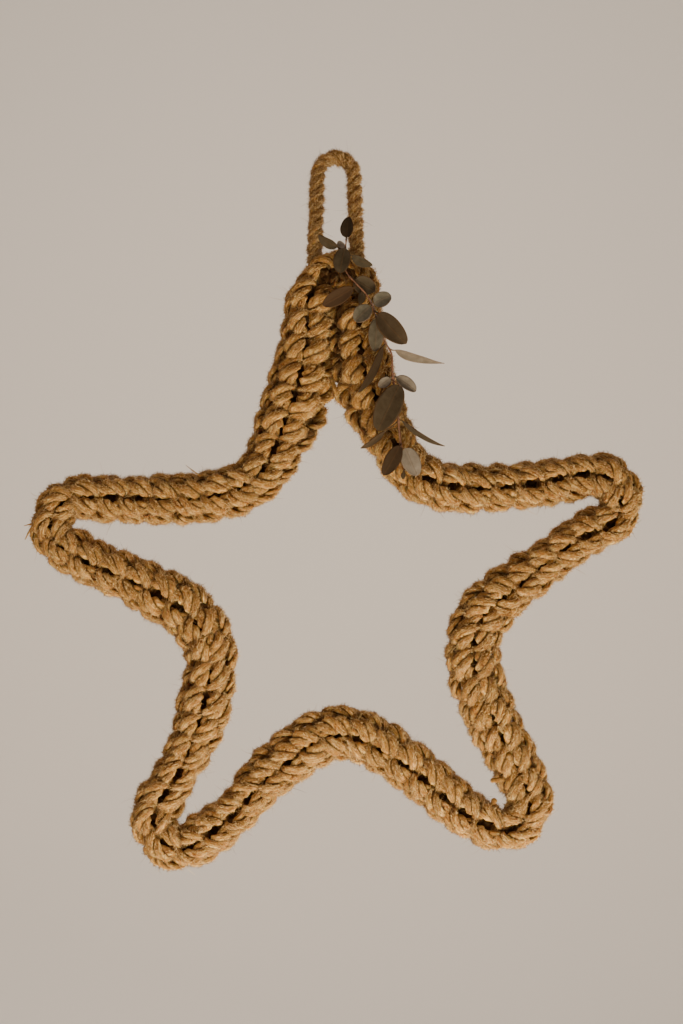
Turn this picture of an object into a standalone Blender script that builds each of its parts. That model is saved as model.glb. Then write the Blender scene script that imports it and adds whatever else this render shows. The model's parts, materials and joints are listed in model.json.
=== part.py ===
"""Star wreath crocheted from thick jute rope, with a rope hanging loop and a eucalyptus sprig.

Metres, +Z up. The wreath faces -Y. The origin is the inner top of the hanging loop, where it
rests on whatever holds it, and the line of the star is drawn in the XZ plane from there.
"""
import math

import bmesh
import bpy
import numpy as np
from mathutils.bvhtree import BVHTree

# Clearance between pieces that touch
GAP = 0.0003

# Fineness of the curves
SAMPLES_PER_SPAN = 10
LOOP_BEVEL_SEGMENTS = 2
STEM_BEVEL_SEGMENTS = 1

# Rope
ROPE_DIAMETER = 0.0082

# Crocheted tube of the star
ARM_WIDTH = 0.0330
ARM_DEPTH = 0.0270
STITCH_PITCH = 0.0156
RINGS_PER_STITCH = 4
COLUMNS = 6
COLUMN_STAGGER = 0.15
LOBE_DIP = 0.10
GROOVE_DIP = 0.15
HOLE_DIP = 0.30
LOBE_FULLNESS = 0.6
PRESSED_SHARE = 0.96

# The star's line is drawn in shares of the span between its left and right points, from the
# centre of its top turn, which hangs this far under the origin and to its right
STAR_SPAN = 0.3100
HANG_DROP = 0.0775
HANG_OFFSET = 0.0018

# Turns of the star's line at its points: the radius of each, and its centre
POINT_TURN = 0.0160
TOP_TURN = 0.0125
TURN_STEP_DEGREES = 40
TOP_POINT = (0.0, 0.0)
TOP_SWELL = 0.80
LEFT_POINT = (-0.505, -0.455)
LOWER_LEFT_POINT = (-0.305, -1.029)
LOWER_RIGHT_POINT = (0.318, -0.993)
RIGHT_POINT = (0.495, -0.410)

# Hanging loop
LOOP_BEND_SPACING = 0.0220
LOOP_FOOT_SPACING = 0.0252
LOOP_BEND_POINTS = 7
LOOP_UPRIGHT_SHARE = 0.8
RIM_POINTS = 12
LOOP_KNOTS = 17
BODY_SET_FORWARD = 0.0085

# Eucalyptus sprig
STEM_DIAMETER = 0.0015
STEM_STAND_OFF = 0.0050
STEM_DIP_PLACE = 0.8
STEM_KNOTS = 16
STALK_WIDTH = 0.0010
LEAF_THICKNESS = 0.0005
LEAF_ROWS = 5
SHORT_LEAF = 0.66
LEAF_LENGTH = 0.0307
LEAF_WIDTH = 0.0156
LEAF_CUP = 0.14
LEAF_DROOP = 0.06
LEAF_BELLY = 0.85
LEAF_ROUNDNESS = 0.62

# Colours as linear red, green and blue
JUTE_COLOUR = (0.33, 0.165, 0.055, 1.0)
LOOP_COLOUR = (0.30, 0.145, 0.048, 1.0)
STEM_COLOUR = (0.24, 0.09, 0.035, 1.0)
LEAF_COLOUR = (0.075, 0.062, 0.045, 1.0)
PALE_LEAF_COLOUR = (0.25, 0.21, 0.17, 1.0)

# The star's line, counter-clockwise from the top as the wreath faces its viewer. A turn is a
# centre and a radius, the directions in degrees where its arc starts and ends, and the arm's
# swell there; a side is a row of points (x, z, swell). Swell is the arm's width over ARM_WIDTH,
# and centres and points are shares of STAR_SPAN.
LINE = (
    ("turn", TOP_POINT, TOP_TURN, 75, 155, TOP_SWELL),
    ("side", ((-0.053, -0.014, 1.00), (-0.060, -0.053, 1.03), (-0.064, -0.101, 1.08),
              (-0.072, -0.153, 1.15), (-0.090, -0.218, 1.16), (-0.109, -0.276, 1.15),
              (-0.138, -0.339, 1.06), (-0.175, -0.375, 1.03), (-0.225, -0.395, 1.02),
              (-0.306, -0.405, 1.00), (-0.423, -0.406, 0.94))),
    ("turn", LEFT_POINT, POINT_TURN, 95, 250, 0.90),
    ("side", ((-0.462, -0.538, 0.90), (-0.414, -0.558, 0.95), (-0.345, -0.592, 1.06),
              (-0.284, -0.634, 1.09), (-0.253, -0.688, 1.05), (-0.248, -0.738, 1.00),
              (-0.259, -0.799, 1.08), (-0.276, -0.860, 0.98), (-0.313, -0.936, 0.86))),
    ("turn", LOWER_LEFT_POINT, POINT_TURN, 152, 318, 1.00),
    ("side", ((-0.226, -1.035, 0.91), (-0.192, -1.004, 0.89), (-0.142, -0.948, 0.98),
              (-0.081, -0.897, 1.05), (-0.032, -0.868, 1.06), (0.015, -0.861, 1.03),
              (0.075, -0.882, 1.01), (0.142, -0.928, 0.97), (0.243, -1.013, 0.94))),
    ("turn", LOWER_RIGHT_POINT, POINT_TURN, 232, 375, 0.97),
    ("side", ((0.346, -0.927, 0.98), (0.299, -0.836, 1.05), (0.265, -0.742, 1.08),
              (0.260, -0.686, 1.07), (0.275, -0.643, 1.08), (0.307, -0.603, 1.08),
              (0.385, -0.542, 0.93), (0.466, -0.483, 0.90))),
    ("turn", RIGHT_POINT, POINT_TURN, 308, 452, 0.93),
    ("side", ((0.445, -0.367, 0.92), (0.349, -0.381, 0.89), (0.245, -0.385, 0.95),
              (0.195, -0.379, 0.93), (0.149, -0.357, 0.96), (0.117, -0.318, 0.98),
              (0.085, -0.250, 1.02), (0.060, -0.176, 1.09), (0.046, -0.115, 0.98),
              (0.041, -0.057, 0.88))),
    ("turn", TOP_POINT, TOP_TURN, -5, 40, TOP_SWELL),
)

# The sprig's stem from its tip at the top to its foot, drawn on the star as (x, z)
STEM_ROUTE = (
    (0.015, 0.092), (0.014, 0.031), (0.038, 0.002), (0.066, -0.031), (0.069, -0.052),
    (0.086, -0.101), (0.100, -0.114), (0.104, -0.172), (0.113, -0.238),
    (0.119, -0.302), (0.129, -0.347),
)

# Leaves from the top down: name, place as a share of the stem's length, heading in the wreath's
# plane in degrees from +X, stalk and blade length as shares of LEAF_LENGTH, blade width as a
# share of LEAF_WIDTH, turn of the blade about its own length, lean towards the viewer, layers in
# front of the stem (behind it when negative, beside it at 0), and the blade's shift across its
# heading as a share of LEAF_LENGTH.
LEAVES = (
    ("leaf_tip", 0.007, 86, 0.05, 0.40, 0.50, 15, 4, 1, 0.0),
    ("leaf_tip_left", 0.047, 154, 0.13, 0.43, 0.50, 50, 6, 0, 0.0),
    ("leaf_tip_bud", 0.059, 122, 0.02, 0.26, 0.30, 0, -4, -1, 0.0),
    ("leaf_tip_front", 0.038, -101, 0.02, 0.48, 0.66, -8, 6, 1, 0.02),
    ("leaf_tip_right", 0.059, -30, 0.10, 0.43, 0.50, -48, 2, 0, 0.0),
    ("leaf_upper_right", 0.162, -32, 0.10, 0.45, 0.72, -10, -7, -1, 0.0),
    ("leaf_upper_left", 0.207, -149, 0.07, 0.67, 0.60, 12, 5, 0, 0.0),
    ("leaf_upper_small", 0.235, -92, 0.03, 0.24, 0.30, 6, -2, -1, 0.0),
    ("leaf_round_right", 0.308, 26, 0.02, 0.36, 0.60, 10, 8, 0, 0.0),
    ("leaf_round_left", 0.311, -138, 0.04, 0.42, 0.66, -10, 12, 2, 0.0),
    ("leaf_pair_left", 0.363, -93, 0.02, 0.64, 0.60, 0, 6, 1, -0.02),
    ("leaf_pair_right", 0.335, -54, 0.10, 0.78, 0.82, -12, 8, 3, -0.04),
    ("leaf_long_right", 0.506, -19.5, 0.08, 0.98, 0.50, -54, 3, 0, 0.0),
    ("leaf_long_left", 0.477, -111.5, 0.05, 1.00, 0.60, 60, 4, 0, 0.01),
    ("leaf_pale_left", 0.622, -140, 0.02, 0.28, 0.40, 4, 2, 0, 0.0),
    ("leaf_curled_right", 0.619, -34, 0.03, 0.47, 0.48, 10, -4, 0, 0.0),
    ("leaf_large_front", 0.636, -116, 0.03, 0.97, 1.00, -6, 5, 1, -0.14),
    ("leaf_edge_left", 0.805, -142, 0.28, 0.58, 0.46, 62, -2, 0, 0.0),
    ("leaf_edge_right", 0.795, -37.5, 0.04, 0.96, 0.50, -72, 2, 0, 0.0),
    ("leaf_lower_dark", 0.899, -117, 0.04, 0.65, 0.62, 12, 8, 2, 0.01),
    ("leaf_lower_pale", 0.916, -70, 0.03, 0.57, 0.72, -4, 8, 1, -0.08),
    ("leaf_foot_bud", 0.982, -98, 0.16, 0.14, 0.18, 0, 4, 1, 0.0),
)
PALE_LEAVES = ("leaf_pale_left", "leaf_lower_pale", "leaf_curled_right")

FRONT = np.array((0.0, -1.0, 0.0))


def clear_scene():
    for old in list(bpy.data.objects):
        bpy.data.objects.remove(old, do_unlink=True)


def make_collection(name):
    group = bpy.data.collections.new(name)
    bpy.context.scene.collection.children.link(group)
    return group


def make_material(name, colour, roughness):
    material = bpy.data.materials.new(name)
    material.use_nodes = True
    shader = material.node_tree.nodes["Principled BSDF"]
    shader.inputs["Base Color"].default_value = colour
    shader.inputs["Roughness"].default_value = roughness
    shader.inputs["Metallic"].default_value = 0.0
    material.diffuse_color = colour
    return material


def add_piece(group, piece, material):
    piece.data.materials.append(material)
    for old in list(piece.users_collection):
        old.objects.unlink(piece)
    group.objects.link(piece)
    return piece


def on_star(x, z):
    """A place drawn in shares of the star's span, in metres."""
    return HANG_OFFSET + x * STAR_SPAN, z * STAR_SPAN - HANG_DROP


def turn_points(centre, radius, start, end, swell):
    """Points along one turn of the star's line."""
    x, z = on_star(*centre)
    steps = max(1, round(abs(end - start) / TURN_STEP_DEGREES))
    angles = np.radians(np.linspace(start, end, steps + 1))
    return [(x + radius * math.cos(a), z + radius * math.sin(a), swell) for a in angles]


def side_points(points):
    """Points along the star's line between two turns."""
    return [(*on_star(x, z), swell) for x, z, swell in points]


def smooth_curve(points, closed):
    """Samples of a Catmull-Rom curve through the points."""
    points = np.array(points, float)
    count = len(points)
    spans = count if closed else count - 1
    t = np.linspace(0.0, 1.0, SAMPLES_PER_SPAN, endpoint=False)[:, None]
    out = []
    for i in range(spans):
        if closed:
            a, b, c, d = (points[(i + k) % count] for k in (-1, 0, 1, 2))
        else:
            b, c = points[i], points[i + 1]
            a = points[i - 1] if i else 2 * b - c
            d = points[i + 2] if i + 2 < count else 2 * c - b
        out.append(b + 0.5 * t * ((c - a) + t * ((2 * a - 5 * b + 4 * c - d)
                                                 + t * (3 * (b - c) + d - a))))
    if not closed:
        out.append(points[-1:])
    return np.vstack(out)


def even_steps(points, count, closed):
    """The same line with the given number of evenly spaced points."""
    line = np.vstack([points, points[:1]]) if closed else points
    along = np.concatenate([[0.0], np.cumsum(np.linalg.norm(np.diff(line[:, :2], axis=0), axis=1))])
    places = np.linspace(0.0, along[-1], count, endpoint=not closed)
    return np.column_stack([np.interp(places, along, line[:, k]) for k in range(line.shape[1])])


def line_length(points):
    return float(np.linalg.norm(np.diff(np.vstack([points, points[:1]])[:, :2], axis=0), axis=1).sum())


def star_line():
    """The middle of the crocheted tube, one row of (x, z, half width) for each ring."""
    corners = []
    for kind, *values in LINE:
        corners += turn_points(*values) if kind == "turn" else side_points(*values)
    fine = smooth_curve(corners, True)
    stitches = round(line_length(fine) / STITCH_PITCH)
    rings = even_steps(fine, stitches * RINGS_PER_STITCH, True)
    rings[:, 2] *= ARM_WIDTH / 2
    return rings


def outward_of(rings):
    """For each ring, the direction out of the star across the tube, in (x, z)."""
    along = np.roll(rings[:, :2], -1, axis=0) - np.roll(rings[:, :2], 1, axis=0)
    along /= np.linalg.norm(along, axis=1)[:, None]
    return np.column_stack([along[:, 1], -along[:, 0]])


def room_beside(rings, side):
    """How far each ring can reach towards a side before it meets another stretch of the tube."""
    apart = rings[None, :, :2] - rings[:, None, :2]
    towards = np.einsum("ijk,ik->ij", apart, side)
    room = np.full(towards.shape, np.inf)
    np.divide((apart ** 2).sum(axis=2), 2 * towards, out=room, where=towards > 0.0)
    return room.min(axis=1)


def lobe_share(ring, column_place):
    """How far out the crochet's surface lies, as a share of the tube's half width.

    column_place counts half columns round the section: even values are the crest of a column
    of rope lobes, odd ones the groove between two columns. The groove at the front has the
    open holes of the chain.
    """
    half_columns = 2 * COLUMNS
    front_groove = half_columns // 4
    phase = ring / RINGS_PER_STITCH + COLUMN_STAGGER * column_place
    lobe = abs(math.sin(math.pi * phase)) ** LOBE_FULLNESS
    if column_place % 2 == 0:
        return 1.0 - LOBE_DIP * (1.0 - lobe)
    dip = HOLE_DIP if column_place == front_groove else GROOVE_DIP
    return 1.0 - GROOVE_DIP - (dip - GROOVE_DIP) * (1.0 - lobe)


def section_point(rings, outward, inner, ring, place):
    """A point of the tube's skin: ring counts along the line, place counts round the section."""
    angle = math.pi * place / COLUMNS
    share = lobe_share(ring, place)
    half = rings[ring, 2] if math.cos(angle) > 0.0 else inner[ring]
    point = rings[ring, :2] + share * half * math.cos(angle) * outward[ring]
    full_depth = math.sin(math.pi / 2 - math.pi / COLUMNS)
    deep = share * ARM_DEPTH / 2 * max(-1.0, min(1.0, math.sin(angle) / full_depth))
    return point[0], -BODY_SET_FORWARD - deep, point[1]


def build_star(group, material):
    """One closed loft of sections round the star's line, with the rope lobes in relief."""
    rings = star_line()
    outward = outward_of(rings)
    inner = np.minimum(rings[:, 2], PRESSED_SHARE * room_beside(rings, -outward) - GAP)
    mesh = bmesh.new()
    skin = [[mesh.verts.new(section_point(rings, outward, inner, ring, place))
             for place in range(2 * COLUMNS)] for ring in range(len(rings))]
    for ring, section in enumerate(skin):
        ahead = skin[(ring + 1) % len(skin)]
        for place in range(2 * COLUMNS):
            beside = (place + 1) % (2 * COLUMNS)
            mesh.faces.new((section[place], ahead[place], ahead[beside], section[beside]))
    data = bpy.data.meshes.new("crocheted_star")
    mesh.to_mesh(data)
    mesh.free()
    data.shade_smooth()
    return add_piece(group, bpy.data.objects.new("crocheted_star", data), material)


def tube(name, points, diameter, bevel_segments, group, material):
    """A round tube with closed ends along the points."""
    curve = bpy.data.curves.new(name, "CURVE")
    curve.dimensions = "3D"
    curve.bevel_depth = diameter / 2
    curve.bevel_resolution = bevel_segments
    curve.use_fill_caps = True
    spline = curve.splines.new("POLY")
    spline.points.add(len(points) - 1)
    for knot, point in zip(spline.points, points):
        knot.co = (*point, 1.0)
    piece = bpy.data.objects.new(name, curve)
    return add_piece(group, piece, material)


def leg_foot(skin, x):
    """Height at which a leg of the loop stands on the star's top."""
    radius = ROPE_DIAMETER / 2
    heights = []
    for angle in np.linspace(0.0, 2 * math.pi, RIM_POINTS, endpoint=False):
        above = (x + radius * math.cos(angle), -BODY_SET_FORWARD + radius * math.sin(angle), 0.0)
        hit = skin.ray_cast(above, (0.0, 0.0, -1.0))
        if hit[0]:
            heights.append(hit[0].z)
    return max(heights) + GAP


def build_loop(star, group, material):
    """The rope loop: two legs up from the star's top and a round bend over the origin."""
    bend = LOOP_BEND_SPACING / 2
    foot_x = LOOP_FOOT_SPACING / 2
    bend_z = ROPE_DIAMETER / 2 - bend
    skin = BVHTree.FromObject(star, bpy.context.evaluated_depsgraph_get())
    left_foot, right_foot = leg_foot(skin, -foot_x), leg_foot(skin, foot_x)
    points = [(-foot_x, left_foot), (-(foot_x + bend) / 2, (left_foot + bend_z) / 2)]
    for angle in np.linspace(math.pi, 0.0, LOOP_BEND_POINTS):
        points.append((bend * math.cos(angle), bend_z + bend * math.sin(angle)))
    points += [((foot_x + bend) / 2, (right_foot + bend_z) / 2), (foot_x, right_foot)]
    line = even_steps(smooth_curve(points, False), LOOP_KNOTS, False)
    upright = LOOP_UPRIGHT_SHARE * max(left_foot, right_foot)
    route = [(x, -BODY_SET_FORWARD * min(1.0, max(0.0, z / upright)), z) for x, z in line]
    return tube("hanging_loop", route, ROPE_DIAMETER, LOOP_BEVEL_SEGMENTS, group, material)


def stem_line():
    """The stem in space: it stands off the rope and dips to it at its foot."""
    route = [on_star(x, z) for x, z in STEM_ROUTE]
    flat = even_steps(smooth_curve(route, False), STEM_KNOTS, False)
    front = -BODY_SET_FORWARD - ARM_DEPTH / 2
    foot = STEM_DIAMETER / 2 + GAP
    place = np.linspace(0.0, 1.0, len(flat))
    dip = np.maximum(0.0, (place - STEM_DIP_PLACE) / (1.0 - STEM_DIP_PLACE)) ** 2
    off = STEM_STAND_OFF + (foot - STEM_STAND_OFF) * dip
    return np.column_stack([flat[:, 0], front - off, flat[:, 1]])


def leaf_outline(place):
    """Width of a blade as a share of its greatest, from its foot (0) to its tip (1)."""
    return max(0.0, math.sin(math.pi * place ** LEAF_BELLY)) ** LEAF_ROUNDNESS


def leaf_axes(heading, turn, lean):
    """The blade's own directions: along it, across it and out of its upper face."""
    heading, turn, lean = (math.radians(a) for a in (heading, turn, lean))
    flat = np.array((math.cos(heading), 0.0, math.sin(heading)))
    forward = flat * math.cos(lean) + FRONT * math.sin(lean)
    facing = FRONT * math.cos(lean) - flat * math.sin(lean)
    side = np.cross(forward, facing)
    across = side * math.cos(turn) + facing * math.sin(turn)
    return forward, side, across, facing * math.cos(turn) - side * math.sin(turn)


def stem_place(line, place):
    """The point at a share of the stem's length, and the stem's direction there."""
    step = np.linalg.norm(np.diff(line, axis=0), axis=1)
    along = np.concatenate([[0.0], np.cumsum(step)])
    slope = np.gradient(line, along, axis=0)
    length = place * along[-1]
    node = np.array([np.interp(length, along, line[:, k]) for k in range(3)])
    tangent = np.array([np.interp(length, along, slope[:, k]) for k in range(3)])
    return node, tangent / np.linalg.norm(tangent)


def build_leaf(values, line, group, material):
    """A thin cupped blade on a stalk that starts at the stem."""
    name, place, heading, stalk, long, wide, turn, lean, layer, shift = values
    node, tangent = stem_place(line, place)
    forward, side, across, upward = leaf_axes(heading, turn, lean)
    beside = forward - forward.dot(tangent) * tangent
    toward = math.copysign(1.0, layer) * FRONT if layer else beside / np.linalg.norm(beside)
    half_stalk = abs(across.dot(toward)) * STALK_WIDTH / 2
    half_stalk += abs(upward.dot(toward)) * LEAF_THICKNESS / 2
    lift = STEM_DIAMETER / 2 + GAP + half_stalk
    foot = node + lift * toward
    base = node + max(1, abs(layer)) * lift * toward
    base += LEAF_LENGTH * (stalk * forward + shift * side)
    length = long * LEAF_LENGTH
    rows = LEAF_ROWS if long > SHORT_LEAF else LEAF_ROWS - 1
    bpy.ops.mesh.primitive_grid_add(x_subdivisions=2, y_subdivisions=rows + 1, size=2.0)
    leaf = bpy.context.object
    leaf.name = leaf.data.name = name
    for vertex in leaf.data.vertices:
        right = vertex.co.x
        row = round((vertex.co.y + 1) / 2 * (rows + 1))
        if row == 0:
            vertex.co = foot + right * STALK_WIDTH / 2 * across
            continue
        t = (row - 1) / rows
        half = max(STALK_WIDTH, wide * LEAF_WIDTH * leaf_outline(t)) / 2
        rise = LEAF_CUP * half * right * right - LEAF_DROOP * length * t * t
        vertex.co = base + t * length * forward + right * half * across + rise * upward
    shell = leaf.modifiers.new("thickness", "SOLIDIFY")
    shell.thickness = LEAF_THICKNESS
    shell.offset = 0.0
    leaf.data.shade_smooth()
    return add_piece(group, leaf, material)


def main():
    clear_scene()
    group = make_collection("jute_star_wreath")
    jute = make_material("jute_crochet", JUTE_COLOUR, 0.95)
    loop_jute = make_material("jute_loop", LOOP_COLOUR, 0.95)
    bark = make_material("stem_bark", STEM_COLOUR, 0.7)
    leaf = make_material("dried_leaf", LEAF_COLOUR, 0.75)
    pale = make_material("pale_dried_leaf", PALE_LEAF_COLOUR, 0.8)
    star = build_star(group, jute)
    build_loop(star, group, loop_jute)
    line = stem_line()
    tube("sprig_stem", line, STEM_DIAMETER, STEM_BEVEL_SEGMENTS, group, bark)
    for values in LEAVES:
        build_leaf(values, line, group, pale if values[0] in PALE_LEAVES else leaf)


main()
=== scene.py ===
"""Looks of the jute star wreath: crocheted jute rope, a rope loop and a dried eucalyptus sprig.

Laid out as a Blender add-on and run as a script. Metres, +Z up, the wreath faces -Y, and the
origin is the inner top of the hanging loop.
"""
import json
import math

import bpy
import numpy as np
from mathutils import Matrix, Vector

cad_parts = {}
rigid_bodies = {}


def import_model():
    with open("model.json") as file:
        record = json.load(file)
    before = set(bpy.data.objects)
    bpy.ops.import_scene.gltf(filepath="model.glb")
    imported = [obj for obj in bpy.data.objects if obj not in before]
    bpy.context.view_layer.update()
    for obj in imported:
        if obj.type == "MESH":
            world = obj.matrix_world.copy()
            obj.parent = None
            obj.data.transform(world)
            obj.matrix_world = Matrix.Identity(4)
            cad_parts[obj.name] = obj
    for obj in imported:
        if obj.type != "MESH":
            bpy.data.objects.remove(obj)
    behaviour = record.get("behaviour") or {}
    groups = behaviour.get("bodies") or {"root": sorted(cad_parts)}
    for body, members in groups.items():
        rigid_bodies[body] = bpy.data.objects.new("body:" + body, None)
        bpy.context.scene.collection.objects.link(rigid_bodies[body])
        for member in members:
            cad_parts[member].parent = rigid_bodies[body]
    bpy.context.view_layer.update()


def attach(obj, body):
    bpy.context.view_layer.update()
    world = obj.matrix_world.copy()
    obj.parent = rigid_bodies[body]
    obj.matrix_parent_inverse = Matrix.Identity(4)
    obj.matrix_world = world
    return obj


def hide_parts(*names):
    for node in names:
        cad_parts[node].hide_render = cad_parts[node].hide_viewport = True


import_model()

bl_info = {
    "name": "Jute star wreath",
    "version": (1, 0, 0),
    "blender": (4, 5, 0),
    "location": "3D View > Sidebar > Wreath",
    "description": "Crocheted jute star with a rope loop and a eucalyptus sprig, over its solids",
    "category": "Add Mesh",
}

# Start of the random draws, and the air that the solids leave between neighbours
SEED = 20
GAP = 0.0003

# The star as its solid has it: span, drop from the loop's top to the top point and offset to the
# side, how far the tube's middle lies forward, its width and depth, the share of the space that it
# takes beside another arm, radii of the turns at the points, and how wide the tube is at the top
STAR_SPAN = 0.3100
HANG_DROP = 0.0775
HANG_OFFSET = 0.0018
BODY_SET_FORWARD = 0.0085
ARM_WIDTH = 0.0330
ARM_DEPTH = 0.0270
PRESSED_SHARE = 0.96
POINT_TURN = 0.0160
TOP_TURN = 0.0125
TOP_SWELL = 0.80
# Middles of its points and its line, with places in shares of its span: turns at the points as
# (centre, radius in metres, start and end of the arc in degrees, swell) and sides as rows of
# (x, z, swell)
TOP_POINT = (0.0, 0.0)
LEFT_POINT = (-0.505, -0.455)
LOWER_LEFT_POINT = (-0.305, -1.029)
LOWER_RIGHT_POINT = (0.318, -0.993)
RIGHT_POINT = (0.495, -0.410)
LINE = (
    ("turn", TOP_POINT, TOP_TURN, 75, 155, TOP_SWELL),
    ("side", ((-0.053, -0.014, 1.00), (-0.060, -0.053, 1.03), (-0.064, -0.101, 1.08),
              (-0.072, -0.153, 1.15), (-0.090, -0.218, 1.16), (-0.109, -0.276, 1.15),
              (-0.138, -0.339, 1.06), (-0.175, -0.375, 1.03), (-0.225, -0.395, 1.02),
              (-0.306, -0.405, 1.00), (-0.423, -0.406, 0.94))),
    ("turn", LEFT_POINT, POINT_TURN, 95, 250, 0.90),
    ("side", ((-0.462, -0.538, 0.90), (-0.414, -0.558, 0.95), (-0.345, -0.592, 1.06),
              (-0.284, -0.634, 1.09), (-0.253, -0.688, 1.05), (-0.248, -0.738, 1.00),
              (-0.259, -0.799, 1.08), (-0.276, -0.860, 0.98), (-0.313, -0.936, 0.86))),
    ("turn", LOWER_LEFT_POINT, POINT_TURN, 152, 318, 1.00),
    ("side", ((-0.226, -1.035, 0.91), (-0.192, -1.004, 0.89), (-0.142, -0.948, 0.98),
              (-0.081, -0.897, 1.05), (-0.032, -0.868, 1.06), (0.015, -0.861, 1.03),
              (0.075, -0.882, 1.01), (0.142, -0.928, 0.97), (0.243, -1.013, 0.94))),
    ("turn", LOWER_RIGHT_POINT, POINT_TURN, 232, 375, 0.97),
    ("side", ((0.346, -0.927, 0.98), (0.299, -0.836, 1.05), (0.265, -0.742, 1.08),
              (0.260, -0.686, 1.07), (0.275, -0.643, 1.08), (0.307, -0.603, 1.08),
              (0.385, -0.542, 0.93), (0.466, -0.483, 0.90))),
    ("turn", RIGHT_POINT, POINT_TURN, 308, 452, 0.93),
    ("side", ((0.445, -0.367, 0.92), (0.349, -0.381, 0.89), (0.245, -0.385, 0.95),
              (0.195, -0.379, 0.93), (0.149, -0.357, 0.96), (0.117, -0.318, 0.98),
              (0.085, -0.250, 1.02), (0.060, -0.176, 1.09), (0.046, -0.115, 0.98),
              (0.041, -0.057, 0.88))),
    ("turn", TOP_POINT, TOP_TURN, -5, 40, TOP_SWELL),
)

# Points along that line, degrees between the corners of a turn, points over which the tube's
# inner reach is evened out, how square its section is (2 is an ellipse) and its least half width
LINE_POINTS = 1328
TURN_STEP = 40
EVENED_POINTS = 9
SECTION_POWER = 2.6
LEAST_HALF_WIDTH = 0.0005

# Columns of stitches round the arm, each one rope: name, place round the section in degrees
# from the outward edge over the front, how far its lobes lean towards the inner side as they
# run on, how much wider than the round rope they are pressed, their stagger in stitches, how
# deep the rope returns and how much wider it lies there, and how many degrees further back it
# lies where the top arms press together
COLUMNS = (
    ("outer_edge", -2.0, 0.0006, 1.72, 0.55, 0.0056, 2.2, 0.0),
    ("front_outer", 54.0, -0.0003, 1.42, 0.30, 0.0084, 1.5, 0.0),
    ("front_inner", 125.0, -0.0012, 1.44, 0.42, 0.0084, 1.5, 6.0),
    ("inner_edge", 184.0, -0.0006, 1.60, 0.67, 0.0056, 2.1, 14.0),
    ("back_inner", 236.0, -0.0008, 1.60, 0.92, 0.0084, 1.6, 0.0),
    ("back_outer", 304.0, -0.0008, 1.60, 0.80, 0.0084, 1.6, 0.0),
)

# Shape of a stitch: how far its lobe runs forward of an even pace, how sharply its ends dive, the
# rings drawn along it, and how thick the rope lies in a lobe and inside as shares of its diameter
FORWARD = 1.12
DIVE_SHARPNESS = 1.25
STEPS_PER_STITCH = 26
LOBE_THICKNESS = 0.88
INSIDE_THICKER = 1.35
# Where in its dive the rope begins to spread, how soon it has done so, and the narrowest and
# widest that a lobe is pressed where an arm is slim or broad
INSIDE_FROM = 0.6
INSIDE_OVER = 0.3
ROOM_LIMITS = (0.86, 1.3)
# Usual stray from stitch to stitch in pace (stitches), thickness (share), turn of the strands
# (radians) and fibre pattern, and how many times its usual size a stray may be
PACE_STRAY = 0.06
SWELL_STRAY = 0.05
TWIST_STRAY = 0.5
LOT_STRAY = 1.0
STRAY_LIMIT = 1.5
# Radius by which a distance round the section becomes an angle, and the small steps round the
# section (radians), along the line (share) and inward that give a place its directions
SECTION_RADIUS = 0.011
ROUND_STEP = 0.03
AHEAD_STEP = 0.0005
INWARD_STEP = 0.003

# Where the two top arms press against each other, how much they spread there, their share of the
# space between them and how far their ropes press into each other
THROAT_LOW = -0.170
THROAT_HIGH = -0.146
THROAT_SWELL = 0.25
THROAT_SHARE = 1.0
THROAT_PRESS = 0.0034
# The painted shade in the seam between them: the squeeze that presses an arm fully and the share
# of it at which the seam starts, how dark the painted shade gets, how far to its sides it reaches,
# and the depths where it starts and is full
SEAM_CRUSH = 0.0020
SEAM_PRESSED = 0.3
SEAM_SHADE = 0.95
SEAM_REACH = 0.0024
SEAM_SINK = (0.0012, 0.0040)

# The hollow between the tops of the two arms: middle and reach as (x, z), depth, how far back
# it may push a rope, and how dark the painted shade in it gets
HOLLOW_PLACE = (0.0014, -0.0745)
HOLLOW_REACH = (0.0085, 0.0105)
HOLLOW_DEPTH = 0.0150
HOLLOW_BACK = -0.0070
HOLLOW_SHADE = 0.9

# Strands of the rope, the points drawn round each, a strand's radius as a share of the rope's
# diameter, how rough its fibres leave it and how steeply they cross a strand
PLIES = 3
POINTS_PER_PLY = 6
PLY_RADIUS = 0.262
FIBRE_LUMPS = 0.00030
YARN_SLANT = 0.42
# Length of rope after which the fibre pattern starts again, how far it moves from strand to
# strand, and how the tint changes from stitch to stitch and from strand to strand
RUN_LENGTH = 0.6
STRAND_PATTERN = 0.37
STITCH_TINT = 3.1
STRAND_TINT = 0.43
# How light the painted shade leaves the grooves between its strands, and how far light sinks into
# each jute
JUTE_DEPTHS = {"spun_jute_rope": (0.16, 0.0035), "spun_jute_loop": (0.85, 0.0035),
               "spun_jute_end": (0.38, 0.0006)}
# Texture map of a rope: the strips it is cut into, the margins round them all and beside each, and
# the radius of an end's disc. That of fibres: start and width of one, across and along its square
MAP_STRIPS = 10
MAP_MARGIN = 0.01
STRIP_MARGIN = 0.04
MAP_DISC = 0.002
MAP_CELL = ((0.2, 0.5), (0.1, 0.8))

# The hanging loop's route, as its solid has it: width at the bend and at the feet, corners of the
# bend, share of its height over which it leans back, z of its feet and its length in the crochet
LOOP_BEND_SPACING = 0.0220
LOOP_FOOT_SPACING = 0.0252
LOOP_BEND_POINTS = 7
LOOP_UPRIGHT_SHARE = 0.8
LOOP_FEET = (-0.0539, -0.0538)
LOOP_ROOT = 0.008
# Samples between its corners, points on the part in sight and on the whole, how its thickness
# comes and goes (share, radians a metre and random share), its lot of yarn, and how many times
# as many fibres as the crochet it raises
LOOP_CURVE_STEPS = 16
LOOP_LINE_POINTS = 120
LOOP_POINTS = 132
LOOP_WAVE = 0.03
LOOP_WAVES = 190
LOOP_STRAY = 0.01
LOOP_LOT = 0.3
LOOP_HAIRIER = 2

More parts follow.
